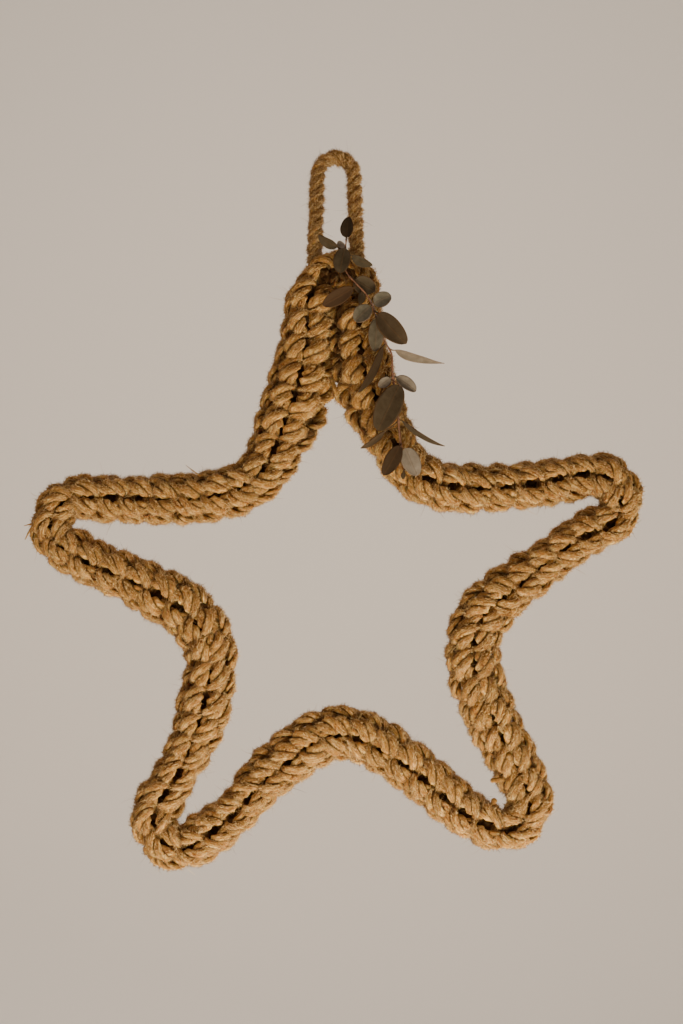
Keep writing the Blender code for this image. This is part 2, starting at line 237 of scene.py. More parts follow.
# The sprig's stem from its tip at the top to its foot, as (x, z) in shares of the star's span
STEM_ROUTE = (
    (0.015, 0.092), (0.014, 0.031), (0.038, 0.002), (0.066, -0.031), (0.069, -0.052),
    (0.086, -0.101), (0.100, -0.114), (0.104, -0.172), (0.113, -0.238),
    (0.119, -0.302), (0.129, -0.347),
)
# How far it stands off the rope, where it dips to it, and its solid's points and diameter
STEM_STAND_OFF = 0.0050
STEM_DIP_PLACE = 0.8
SOLID_STEM_POINTS = 16
SOLID_STEM_DIAMETER = 0.0015
# Rings along the stem, points round it, its thickness at the tip and how much it gains to the
# foot as shares, its greatest radius, and the height and reach of its nodes (metres and share)
STEM_RINGS = 160
STEM_AROUND = 10
STEM_TIP_SHARE = 0.62
STEM_GROWTH = 0.5
STEM_GREATEST_RADIUS = 0.00095
NODE_SWELL = 0.00022
NODE_REACH = 0.006
# How much paler the bark is where it is rubbed
RUBBED_PALER = 1.5

# Leaves as their solids have them: name, place as a share of the stem's length, heading in
# degrees from +X, stalk and blade length as shares of the leaf length, blade width as a share
# of the leaf width, turn about its length, lean to the viewer, layers in front of the stem and
# shift across the heading. Then the look: roundness of the outline (1 is a slim willow leaf),
# where it is widest, how it cups and how far its tip curls back.
LEAVES = (
    ("leaf_tip", 0.007, 86, 0.05, 0.40, 0.50, 15, 4, 1, 0.0, 0.50, 0.80, 0.20, 0.05),
    ("leaf_tip_left", 0.047, 154, 0.13, 0.43, 0.50, 50, 6, 0, 0.0, 0.55, 0.90, 0.25, 0.05),
    ("leaf_tip_bud", 0.059, 122, 0.02, 0.26, 0.30, 0, -4, -1, 0.0, 0.50, 0.95, 0.30, 0.0),
    ("leaf_tip_front", 0.038, -101, 0.02, 0.48, 0.66, -8, 6, 1, 0.02, 0.45, 1.00, 0.16, 0.06),
    ("leaf_tip_right", 0.059, -30, 0.10, 0.43, 0.50, -48, 2, 0, 0.0, 0.55, 0.90, 0.25, 0.06),
    ("leaf_upper_right", 0.162, -32, 0.10, 0.45, 0.72, -10, -7, -1, 0.0, 0.50, 0.85, 0.20, 0.04),
    ("leaf_upper_left", 0.207, -149, 0.07, 0.67, 0.60, 12, 5, 0, 0.0, 0.50, 1.05, 0.14, 0.04),
    ("leaf_upper_small", 0.235, -92, 0.03, 0.24, 0.30, 6, -2, -1, 0.0, 0.55, 0.90, 0.20, 0.0),
    ("leaf_round_right", 0.308, 26, 0.02, 0.36, 0.60, 10, 8, 0, 0.0, 0.42, 0.90, 0.22, 0.05),
    ("leaf_round_left", 0.311, -138, 0.04, 0.42, 0.66, -10, 12, 2, 0.0, 0.48, 1.05, 0.20, 0.05),
    ("leaf_pair_left", 0.363, -93, 0.02, 0.64, 0.60, 0, 6, 1, -0.02, 0.50, 0.95, 0.18, 0.06),
    ("leaf_pair_right", 0.335, -54, 0.10, 0.78, 0.82, -12, 8, 3, -0.04, 0.50, 0.95, 0.30, 0.10),
    ("leaf_long_right", 0.506, -19.5, 0.08, 0.98, 0.50, -54, 3, 0, 0.0, 1.10, 0.62, 0.25, 0.04),
    ("leaf_long_left", 0.477, -111.5, 0.05, 1.00, 0.60, 60, 4, 0, 0.01, 0.62, 0.90, 0.18, 0.05),
    ("leaf_pale_left", 0.622, -140, 0.02, 0.28, 0.40, 4, 2, 0, 0.0, 0.50, 0.90, 0.25, 0.0),
    ("leaf_curled_right", 0.619, -34, 0.03, 0.47, 0.48, 10, -4, 0, 0.0, 0.50, 0.90, 0.55, 0.16),
    ("leaf_large_front", 0.636, -116, 0.03, 0.97, 1.00, -6, 5, 1, -0.14, 0.46, 0.95, 0.10, 0.05),
    ("leaf_edge_left", 0.805, -142, 0.28, 0.58, 0.46, 62, -2, 0, 0.0, 0.70, 0.95, 0.20, 0.05),
    ("leaf_edge_right", 0.795, -37.5, 0.04, 0.96, 0.50, -72, 2, 0, 0.0, 0.80, 0.80, 0.25, 0.05),
    ("leaf_lower_dark", 0.899, -117, 0.04, 0.65, 0.62, 12, 8, 2, 0.01, 0.52, 0.95, 0.16, 0.04),
    ("leaf_lower_pale", 0.916, -70, 0.03, 0.57, 0.72, -4, 8, 1, -0.08, 0.45, 0.90, 0.20, 0.03),
    ("leaf_foot_bud", 0.982, -98, 0.16, 0.14, 0.18, 0, 4, 1, 0.0, 0.60, 0.90, 0.30, 0.0),
)
PALE_LEAVES = ("leaf_pale_left", "leaf_lower_pale", "leaf_curled_right")
# How dry and reddish the leaves are, from 0 for a grey green one to 1
USUAL_REDDISH = 0.35
REDDISH_LEAVES = {"leaf_upper_left": 0.9, "leaf_lower_dark": 0.8, "leaf_long_left": 0.7,
                  "leaf_large_front": 0.45, "leaf_pair_right": 0.55, "leaf_tip": 0.6,
                  "leaf_edge_left": 0.6, "leaf_round_right": 0.0, "leaf_round_left": 0.05,
                  "leaf_pair_left": 0.1, "leaf_tip_right": 0.2}
# How much lighter or darker than the rest some leaves are; leaf_tip_bud's lightness is painted
# light that lifts it out of the shade of leaf_tip_front
LEAF_LIGHTNESS = {"leaf_tip": 0.50, "leaf_tip_front": 0.85, "leaf_tip_bud": 4.6,
                  "leaf_upper_right": 1.1, "leaf_round_right": 2.4, "leaf_round_left": 2.0,
                  "leaf_pair_left": 1.6, "leaf_long_right": 2.8, "leaf_long_left": 0.8,
                  "leaf_pale_left": 0.68, "leaf_curled_right": 0.68, "leaf_lower_dark": 0.75,
                  "leaf_lower_pale": 0.9}
# Rows of points along a blade and its stalk and columns on each half, depth of the crease along
# the rib, usual sideways bend, droop, half widths that foot and tip keep, and how much of its
# width a cupped blade loses
LEAF_ROWS = 24
STALK_ROWS = 4
LEAF_HALF_COLUMNS = 6
LEAF_FOLD = 0.09
LEAF_BEND = 0.03
LEAF_DROOP = 0.06
BLADE_FOOT = 0.00035
BLADE_TIP = 0.0001
CUP_NARROWING = 0.5
# Waves of a blade's edge: height as a share of its half width, radians from foot to tip, lag of
# one edge behind the other and range of their start
EDGE_WAVE_HEIGHT = 0.05
EDGE_WAVES = 9
EDGE_WAVE_LAG = 2
EDGE_WAVE_START = 6.28
# A stalk: width and thickness of its solid, how far out of the stem it starts, its bow, its half
# width and how much wider it is at the stem
STALK_WIDTH = 0.0010
SOLID_LEAF_THICKNESS = 0.0005
STALK_FOOT = 0.6
STALK_BOW = 0.0004
STALK_HALF_WIDTH = 0.00038
STALK_FLARE = 0.00012
# How far the blotches move from leaf to leaf, and their stray within one
LEAF_PATTERN = 3.7
PATTERN_STRAY = 0.0001

# Loose fibres: piece, share of their number, usual length, thickness, how steeply they leave the
# rope at least and at most, and the stretches each is drawn in. Real ones are about 0.05 mm
# thick and are drawn thicker so that they show.
FIBRE_KINDS = (
    ("fibres_lying", 0.21, 0.0044, 0.00026, 0.05, 0.30, 2),
    ("fibres_standing", 0.80, 0.0022, 0.00038, 0.25, 0.90, 1),
    ("fibres_velvet", 0.92, 0.0013, 0.00048, 0.30, 0.80, 1),
    ("fibres_long", 0.02, 0.0085, 0.00018, 0.20, 0.90, 4),
)
# Where they stand: least openness and crest of the rope there, and how far outside its middle
FIBRE_OPEN = 0.5
FIBRE_CREST = 0.25
FIBRE_OUTSIDE = 0.0004
# Length as a least share, a reach and the two powers of its odds, and the range of thickness
FIBRE_LENGTHS = (0.25, 1.2, 1.3, 2.6)
FIBRE_WIDTHS = (0.6, 1.2)
# How far their roots stray along the strand and all ways, how closely they follow the strand,
# how much they sway from it, the range of their bends, how their flat side rolls and their taper
ROOT_ALONG = 0.0004
ROOT_STRAY = 0.0003
FIBRE_FOLLOW = 1.1
FIBRE_SWAY = 0.32
FIBRE_BENDS = (0.1, 0.8)
FIBRE_ROLL = 0.6
FIBRE_TAPER = 0.6
# Points whose nearest place on the star's line is looked for at one time
COMPARED_AT_ONCE = 4000

# Lights: name, place, where it points, diameter, power and colour
LIGHTS = (
    ("key_light", (0.26, -0.58, -0.96), (0.0, -0.01, -0.30), 0.74, 19.4, "#fff4da"),
    ("floor_light", (0.06, -0.40, -0.92), (0.02, -0.01, -0.42), 0.34, 3.8, "#fff8ec"),
    ("fill_light", (-0.8, -1.3, 0.5), (0.0, -0.01, -0.18), 1.2, 6.6, "#ffe4d2"),
    ("back_light", (0.5, 1.3, 0.5), (0.0, -0.01, -0.22), 1.0, 26.0, "#fff8ef"),
    ("backdrop_light", (0.0, 0.5, 0.3), (0.0, 2.6, -0.9), 1.6, 20.0, "#fff4ea"),
)

# The painted sweep: height of its floor, distance of its upright back and of its front edge,
# radius and steps of the bend between them, height of the back and half the width
SWEEP_FLOOR = -1.30
SWEEP_BACK = 2.6
SWEEP_FRONT = -3.0
SWEEP_BEND = 0.6
SWEEP_STEPS = 12
SWEEP_TOP = 3.0
SWEEP_SIDE = 3.5

# The camera looks straight at the wreath's front: place, and lens and sensor width in millimetres
CAMERA_PLACE = (0.0036, -1.2085, -0.2112)
CAMERA_LENS = 70.0
CAMERA_SENSOR = 36.0

# Cut ends of yarn that stick out of the crochet: where each starts inside a rope and where it
# ends, as (x, y, z), its thickness and the knob on its end
YARN_ENDS = (
    ((0.1045, -0.0130, -0.3712), (0.0928, -0.0150, -0.3722), 0.0028, 1.1),
    ((0.0900, -0.0120, -0.3915), (0.0962, -0.0140, -0.3832), 0.0017, 2.1),
    ((-0.1815, -0.0140, -0.2190), (-0.1858, -0.0170, -0.2278), 0.0010, 0.7),
    ((-0.1790, -0.0120, -0.2175), (-0.1868, -0.0150, -0.2195), 0.0009, 0.6),
    ((-0.0800, -0.0150, -0.1905), (-0.0896, -0.0170, -0.1832), 0.0007, 0.5),
    ((-0.0785, -0.0145, -0.1900), (-0.0868, -0.0150, -0.1862), 0.0006, 0.5),
    ((-0.0022, -0.0110, -0.1315), (0.0004, -0.0135, -0.1405), 0.0026, 0.9),
)
# Rings along one and points round it, its bow to the front, where its knob starts and how soon it
# is full, where it stops and how soon it rounds off, how lumpy it is, how its fibre pattern runs
# along and round it, how open it is, which sets how much painted shade darkens it, and its tint
END_RINGS = 15
END_AROUND = 12
END_BOW = 0.0008
END_KNOB_FROM = 0.6
END_KNOB_OVER = 0.2
END_STOP = 1.02
END_ROUNDING = 0.1
END_LUMPS = 0.12
END_RUN = 0.01
END_ACROSS = 0.0004
END_OPEN = 0.75
END_TINT = 0.2

FRONT = np.array((0.0, -1.0, 0.0))

# Columns of the tube's table after the x and z of a place
HALF_WIDTH, INNER_REACH, OUTWARD, SQUEEZED, PRESSED = 2, 3, slice(4, 6), 6, 7

# Settings that several nodes share
SMOOTH = {"interpolation_type": "SMOOTHSTEP"}
MULTIPLY = {"operation": "MULTIPLY"}
MULTIPLY_ADD = {"operation": "MULTIPLY_ADD"}
COLOUR_MIX = {"data_type": "RGBA"}

# What every colour of the property groups shares
COLOUR = {"subtype": "COLOR", "size": 3, "min": 0.0, "max": 1.0}


def linear(code):
    """A colour given as an sRGB hex value, in linear red, green, blue and alpha."""
    parts = [int(code[i:i + 2], 16) / 255 for i in (1, 3, 5)]
    return (*(part / 12.92 if part <= 0.04045 else ((part + 0.055) / 1.055) ** 2.4
              for part in parts), 1.0)


class CrochetSettings(bpy.types.PropertyGroup):
    """Sizes and colours of the crocheted rope."""

    rope_diameter: bpy.props.FloatProperty(
        name="Rope diameter", description="Across the three strands of the rope",
        default=0.0082, min=0.003, max=0.02, unit="LENGTH")
    lay: bpy.props.FloatProperty(
        name="Lay", description="Length of rope in which a strand goes once round it",
        default=0.0250, min=0.008, max=0.08, unit="LENGTH")
    loop_lay: bpy.props.FloatProperty(
        name="Lay of the loop",
        description="Length of the loop in which a strand goes once round it",
        default=0.0210, min=0.008, max=0.08, unit="LENGTH")
    stitch_pitch: bpy.props.FloatProperty(
        name="Stitch pitch", description="Distance from one stitch to the next along an arm",
        default=0.0156, min=0.008, max=0.04, unit="LENGTH")
    unevenness: bpy.props.FloatProperty(
        name="Unevenness", description="How far the stitches stray from a regular row",
        default=0.0011, min=0.0, max=0.004, unit="LENGTH")
    fibres: bpy.props.IntProperty(
        name="Fibres", description="Number of loose fibres that each kind has a share of",
        default=190000, min=0, max=190000)
    shade: bpy.props.FloatVectorProperty(
        name="Jute shade", description="Colour between the strands",
        default=linear("#582d10")[:3], **COLOUR)
    body: bpy.props.FloatVectorProperty(
        name="Jute", description="Main colour of the fibre",
        default=linear("#946b36")[:3], **COLOUR)
    straw: bpy.props.FloatVectorProperty(
        name="Pale jute", description="Colour of the palest fibres",
        default=linear("#c5a268")[:3], **COLOUR)


class SprigSettings(bpy.types.PropertyGroup):
    """Sizes and colours of the eucalyptus sprig."""

    stem_diameter: bpy.props.FloatProperty(
        name="Stem diameter", description="Across the stem",
        default=0.0012, min=0.0005, max=0.004, unit="LENGTH")
    leaf_length: bpy.props.FloatProperty(
        name="Leaf length", description="Length of the longest blade",
        default=0.0307, min=0.01, max=0.08, unit="LENGTH")
    leaf_width: bpy.props.FloatProperty(
        name="Leaf width", description="Width of the widest blade",
        default=0.0156, min=0.004, max=0.04, unit="LENGTH")
    leaf_thickness: bpy.props.FloatProperty(
        name="Leaf thickness", description="Thickness of a dried blade",
        default=0.0004, min=0.0002, max=0.002, unit="LENGTH")
    face: bpy.props.FloatVectorProperty(
        name="Leaf", description="Colour of a leaf's bare face",
        default=linear("#302c20")[:3], **COLOUR)
    bloom: bpy.props.FloatVectorProperty(
        name="Leaf bloom", description="Colour of the waxy bloom on a leaf",
        default=linear("#474032")[:3], **COLOUR)
    dried: bpy.props.FloatVectorProperty(
        name="Reddish leaf", description="Colour of a leaf that has dried reddish",
        default=linear("#3b2a1c")[:3], **COLOUR)
    rim: bpy.props.FloatVectorProperty(
        name="Leaf rim", description="Colour of a leaf's veins and rim",
        default=linear("#513822")[:3], **COLOUR)
    pale_face: bpy.props.FloatVectorProperty(
        name="Pale leaf", description="Colour of a pale leaf's bare face",
        default=linear("#655b4d")[:3], **COLOUR)
    pale_bloom: bpy.props.FloatVectorProperty(
        name="Pale leaf bloom", description="Colour of the waxy bloom on a pale leaf",
        default=linear("#867b6c")[:3], **COLOUR)
    pale_dried: bpy.props.FloatVectorProperty(
        name="Reddish pale leaf", description="Colour of a pale leaf that has dried reddish",
        default=linear("#75685a")[:3], **COLOUR)
    pale_rim: bpy.props.FloatVectorProperty(
        name="Pale leaf rim", description="Colour of a pale leaf's veins and rim",
        default=linear("#5f4632")[:3], **COLOUR)
    bark: bpy.props.FloatVectorProperty(
        name="Bark", description="Main colour of the stem",
        default=linear("#6c452b")[:3], **COLOUR)
    bark_speck: bpy.props.FloatVectorProperty(
        name="Bark specks", description="Colour of the stem's dark specks",
        default=linear("#432716")[:3], **COLOUR)


class StageSettings(bpy.types.PropertyGroup):
    """Colours and brightness of the studio."""

    sweep: bpy.props.FloatVectorProperty(
        name="Floor and backdrop", description="Colour of the painted sweep",
        default=linear("#ece4da")[:3], **COLOUR)
    daylight: bpy.props.FloatVectorProperty(
        name="Daylight", description="Colour of the light from all around",
        default=linear("#f0e6dc")[:3], **COLOUR)
    brightness: bpy.props.FloatProperty(
        name="Daylight strength", description="Strength of the light from all around",
        default=0.40, min=0.0, max=5.0)


def unit(vectors):
    """Rows of vectors, each brought to length one."""
    return vectors / np.maximum(np.linalg.norm(vectors, axis=1), 1e-9)[:, None]


def on_star(x, z):
    """A place drawn in shares of the star's span, in metres."""
    return HANG_OFFSET + x * STAR_SPAN, z * STAR_SPAN - HANG_DROP


def smooth_curve(points, closed, steps=10):
    """Samples of a Catmull-Rom curve through the points."""
    points = np.array(points, float)
    count = len(points)
    t = np.linspace(0.0, 1.0, steps, endpoint=False)[:, None]
    out = []
    for i in range(count if closed else count - 1):
        if closed:
            a, b, c, d = (points[(i + k) % count] for k in (-1, 0, 1, 2))
        else:
            b, c = points[i], points[i + 1]
            a = points[i - 1] if i else 2 * b - c
            d = points[i + 2] if i + 2 < count else 2 * c - b
        out.append(b + 0.5 * t * ((c - a) + t * ((2 * a - 5 * b + 4 * c - d)
                                                 + t * (3 * (b - c) + d - a))))
    if not closed:
        out.append(points[-1:])
    return np.vstack(out)


def along_line(points, closed):
    """Distance of each point along a line, with the whole length last when it is closed."""
    line = np.vstack([points, points[:1]]) if closed else points
    return np.concatenate([[0.0], np.cumsum(np.linalg.norm(np.diff(line, axis=0), axis=1))])


def even_steps(points, count, closed, width=2):
    """The same line with evenly spaced points, measured over its first columns."""
    line = np.vstack([points, points[:1]]) if closed else points
    along = along_line(line[:, :width], False)
    places = np.linspace(0.0, along[-1], count, endpoint=not closed)
    return np.column_stack([np.interp(places, along, line[:, k]) for k in range(line.shape[1])])


def star_line(count):
    """The middle of the crocheted tube as rows of (x, z, half width), evenly spaced."""
    corners = []
    for kind, *values in LINE:
        if kind == "side":
            corners += [(*on_star(x, z), swell) for x, z, swell in values[0]]
            continue
        centre, radius, start, end, swell = values
        x, z = on_star(*centre)
        steps = max(1, round(abs(end - start) / TURN_STEP))
        for a in np.radians(np.linspace(start, end, steps + 1)):
            corners.append((x + radius * math.cos(a), z + radius * math.sin(a), swell))
    rings = even_steps(smooth_curve(corners, True), count, True)
    rings[:, 2] *= ARM_WIDTH / 2
    return rings


class StarTube:
    """The crocheted tube as a surface: places along it, round it and below its crest."""

    def __init__(self):
        line = star_line(LINE_POINTS)
        self.length = along_line(line[:, :2], True)[-1]
        ahead = unit(np.roll(line[:, :2], -1, axis=0) - np.roll(line[:, :2], 1, axis=0))
        outward = np.column_stack([ahead[:, 1], -ahead[:, 0]])
        squeezed = np.clip((line[:, 1] - THROAT_LOW) / (THROAT_HIGH - THROAT_LOW), 0.0, 1.0)
        swollen = line[:, 2] * (1 + THROAT_SWELL * squeezed)
        share = PRESSED_SHARE + (THROAT_SHARE - PRESSED_SHARE) * squeezed
        reach = share * self.room(line, -outward) - GAP + THROAT_PRESS * squeezed
        inner = np.minimum(swollen, reach)
        beyond = EVENED_POINTS // 2
        inner = np.concatenate([inner[-beyond:], inner, inner[:beyond]])
        inner = np.convolve(inner, np.ones(EVENED_POINTS) / EVENED_POINTS, "valid")
        pressed = squeezed * np.clip((swollen - reach) / SEAM_CRUSH, 0.0, 1.0)
        self.table = np.column_stack([line, inner, outward, squeezed, pressed])

    @staticmethod
    def room(line, side):
        """How far each place can reach towards a side before it meets the tube again."""
        apart = line[None, :, :2] - line[:, None, :2]
        towards = np.einsum("ijk,ik->ij", apart, side)
        room = np.full(towards.shape, np.inf)
        np.divide((apart ** 2).sum(axis=2), 2 * towards, out=room, where=towards > 0.0)
        return room.min(axis=1)

    def at(self, share):
        """Rows of the table at shares of the whole length."""
        place = (np.asarray(share) % 1.0) * LINE_POINTS
        low = np.floor(place).astype(int) % LINE_POINTS
        part = (place - np.floor(place))[:, None]
        return self.table[low] * (1 - part) + self.table[(low + 1) % LINE_POINTS] * part

    def point(self, share, angle, below):
        """Points at shares of the length, angles round the section and depths below the crest."""
        row = self.at(share)
        across, deep = np.cos(angle), np.sin(angle)
        wide = np.where(across > 0, row[:, HALF_WIDTH], row[:, INNER_REACH]) - below
        wide = np.maximum(wide, LEAST_HALF_WIDTH)
        thick = np.maximum(ARM_DEPTH / 2 - below, LEAST_HALF_WIDTH)
        reach = np.abs(across / wide) ** SECTION_POWER + np.abs(deep / thick) ** SECTION_POWER
        reach = reach ** (-1 / SECTION_POWER)
        flat = row[:, :2] + (reach * across)[:, None] * unit(row[:, OUTWARD])
        return np.column_stack([flat[:, 0], -BODY_SET_FORWARD - reach * deep, flat[:, 1]])

    def seam_light(self, points):
        """How much light reaches each point past the seam between the two pressed arms, painted
        into its colour as shade.
        """
        rows = self.table[self.table[:, PRESSED] > SEAM_PRESSED]
        seam = rows[:, :2] - rows[:, INNER_REACH, None] * rows[:, OUTWARD]
        light = np.ones(len(points))
        near = np.nonzero(points[:, 2] > THROAT_LOW)[0]
        apart = np.linalg.norm(points[near][:, None, (0, 2)] - seam[None], axis=2).min(axis=1)
        depth = ARM_DEPTH / 2 - np.abs(points[near, 1] + BODY_SET_FORWARD)
        sunk = np.clip((depth - SEAM_SINK[0]) / (SEAM_SINK[1] - SEAM_SINK[0]), 0.0, 1.0)
        light[near] = 1 - SEAM_SHADE * sunk * np.exp(-(apart / SEAM_REACH) ** 2)
        return light


def wander(generator, count, places, size):
    """A smooth closed random wave with one value for each stitch, read at places in stitches."""
    limit = STRAY_LIMIT * size
    values = np.clip(generator.normal(0.0, size, count), -limit, limit)
    low = np.floor(places).astype(int)
    part = places - low
    part = part * part * (3 - 2 * part)
    return values[low % count] * (1 - part) + values[(low + 1) % count] * part


def new_mesh(name, points, faces):
    """A mesh from points and faces, shaded smooth."""
    mesh = bpy.data.meshes.new(name)
    mesh.from_pydata(np.asarray(points).tolist(), [], faces)
    mesh.shade_smooth()
    return mesh


def set_marks(mesh, **marks):
    """Writes named numbers or vectors for each point of a mesh, which its material reads."""
    for name, values in marks.items():
        values = np.ascontiguousarray(values, dtype=np.float32).ravel()
        vector = len(values) == 3 * len(mesh.vertices)
        mark = mesh.attributes.new(name, "FLOAT_VECTOR" if vector else "FLOAT", "POINT")
        mark.data.foreach_set("vector" if vector else "value", values)


def set_bake_map(mesh, places):
    """Gives a mesh the texture map that its looks are baked on."""
    layer = mesh.uv_layers.new(name="OFBake")
    layer.uv.foreach_set("vector", places.astype(np.float32).ravel())


def ring_points(middle, side, over, right, up):
    """Points of rings round a route, each so far right along its side and up along its over."""
    points = (middle[:, None, :] + right[:, :, None] * side[:, None, :]
              + up[:, :, None] * over[:, None, :])
    return points.reshape(-1, 3)


def ring_faces(count, per, closed=False, mirrored=False):
    """Faces that join rings of points, with a cap on each end of an open row of rings."""
    rings = np.arange(count if closed else count - 1)[:, None] * per
    after = (rings + per) % (count * per)
    here = np.arange(per)
    beside = (here + 1) % per
    faces = np.stack([rings + here, rings + beside, after + beside, after + here], axis=2)
    faces = faces.reshape(-1, 4)
    caps = [] if closed else [list(range(per))[::-1], list(range((count - 1) * per, count * per))]
    if mirrored:
        return faces[:, (0, 3, 2, 1)].tolist() + [cap[::-1] for cap in caps]
    return faces.tolist() + caps


def ply_profile(diameter):
    """Section of a three-strand rope: angle, radius and place across its strand of each point."""
    ply = diameter * PLY_RADIUS
    off = diameter / 2 - ply
    steps = np.arange(PLIES * POINTS_PER_PLY)
    angle = 2 * math.pi * steps / len(steps)
    strand = np.round(angle * PLIES / (2 * math.pi))
    apart = angle - 2 * math.pi * strand / PLIES
    radius = off * np.cos(apart) + np.sqrt(ply ** 2 - (off * np.sin(apart)) ** 2)
    return angle, radius, apart * radius, strand.astype(int) % PLIES


def rope_map(rings, angle, closed):
    """Places of a rope's faces on its texture map: strips of rings, and a disc for each end."""
    per = len(angle)
    strip_rings = math.ceil(rings / MAP_STRIPS)
    strip, place = np.divmod(np.arange(rings), strip_rings)
    height = 1 - 2 * STRIP_MARGIN
    left = place / strip_rings
    low = (strip[:, None] + STRIP_MARGIN + height * np.arange(per) / per) / MAP_STRIPS
    right, high = left + 1 / strip_rings, low + height / per / MAP_STRIPS
    left, right = (np.repeat(MAP_MARGIN + (1 - 2 * MAP_MARGIN) * edge, per)
                   for edge in (left, right))
    low, high = low.ravel(), high.ravel()
    spread = np.stack([left, low, left, high, right, high, right, low], axis=1).ravel()
    disc = MAP_DISC * np.column_stack([np.cos(angle), np.sin(angle)]).ravel() + 2 * MAP_DISC
    return np.concatenate([spread] + [disc] * (0 if closed else 2))


def rope_mesh(name, route, side, wide, deep, diameter, twist, closed, marks, generator):
    """A three-strand rope swept along a route, with marks for its material on each point."""
    count = len(route)
    if closed:
        ahead = unit(np.roll(route, -1, axis=0) - np.roll(route, 1, axis=0))
    else:
        ahead = unit(np.gradient(route, axis=0))
    side = unit(side - np.einsum("ij,ij->i", side, ahead)[:, None] * ahead)
    angle, radius, across, strand = ply_profile(diameter)
    per = len(angle)
    turned = angle + twist[:, None]
    rough = generator.normal(0.0, 1.0, (count, per))
    rough = (np.roll(rough, 1, axis=0) + 2 * rough + np.roll(rough, -1, axis=0)) / 4
    grown = radius + FIBRE_LUMPS * rough
    points = ring_points(route, side, np.cross(ahead, side),
                         grown * np.cos(turned) * wide[:, None],
                         grown * np.sin(turned) * deep[:, None])
    mesh = new_mesh(name, points, ring_faces(count, per, closed))
    set_bake_map(mesh, rope_map(count if closed else count - 1, angle, closed))
    run, lot = marks["run"][:, None], marks["lot"][:, None]
    fibre = np.empty((count, per, 3))
    fibre[:, :, 0] = run
    fibre[:, :, 1] = across + YARN_SLANT * run
    fibre[:, :, 2] = strand * STRAND_PATTERN + lot
    # The seam's painted shade lowers the open mark, which the material paints as shade
    light = marks["light"](points) if "light" in marks else 1.0
    set_marks(mesh, fibre=fibre, crest=np.tile((radius - radius.min()) / np.ptp(radius), count),
              open=np.repeat(marks["open"], per) * light,
              tint=(lot * STITCH_TINT + strand * STRAND_TINT) % 1.0)
    return mesh


def set_inputs(tree, node, inputs):
    """Sets or links a node's inputs, given by name with _ for a space, or as i and a number."""
    for key, value in inputs.items():
        by_number = key[0] == "i" and key[1:].isdigit()
        socket = node.inputs[int(key[1:]) if by_number else key.replace("_", " ")]
        if isinstance(value, bpy.types.Node):
            value = value.outputs[0]
        if isinstance(value, bpy.types.NodeSocket):
            tree.links.new(value, socket)
        else:
            socket.default_value = value


def add_node(tree, kind, settings=(), **inputs):
    """Adds a node, with its settings and its inputs; a node as an input gives its first output."""
    node = tree.nodes.new("ShaderNode" + kind)
    for key, value in dict(settings).items():
        setattr(node, key, value)
    set_inputs(tree, node, inputs)
    return node


def add_stops(ramp, stops):
    """Puts (place, colour) stops on a colour ramp."""
    band = ramp.color_ramp
    while len(band.elements) > 1:
        band.elements.remove(band.elements[-1])
    band.elements[0].position, band.elements[0].color = stops[0]
    for place, colour in stops[1:]:
        band.elements.new(place).color = colour


def new_material(name):
    """A new material, its node tree and its shader."""
    material = bpy.data.materials.new(name)
    material.use_nodes = True
    tree = material.node_tree
    return material, tree, tree.nodes["Principled BSDF"]


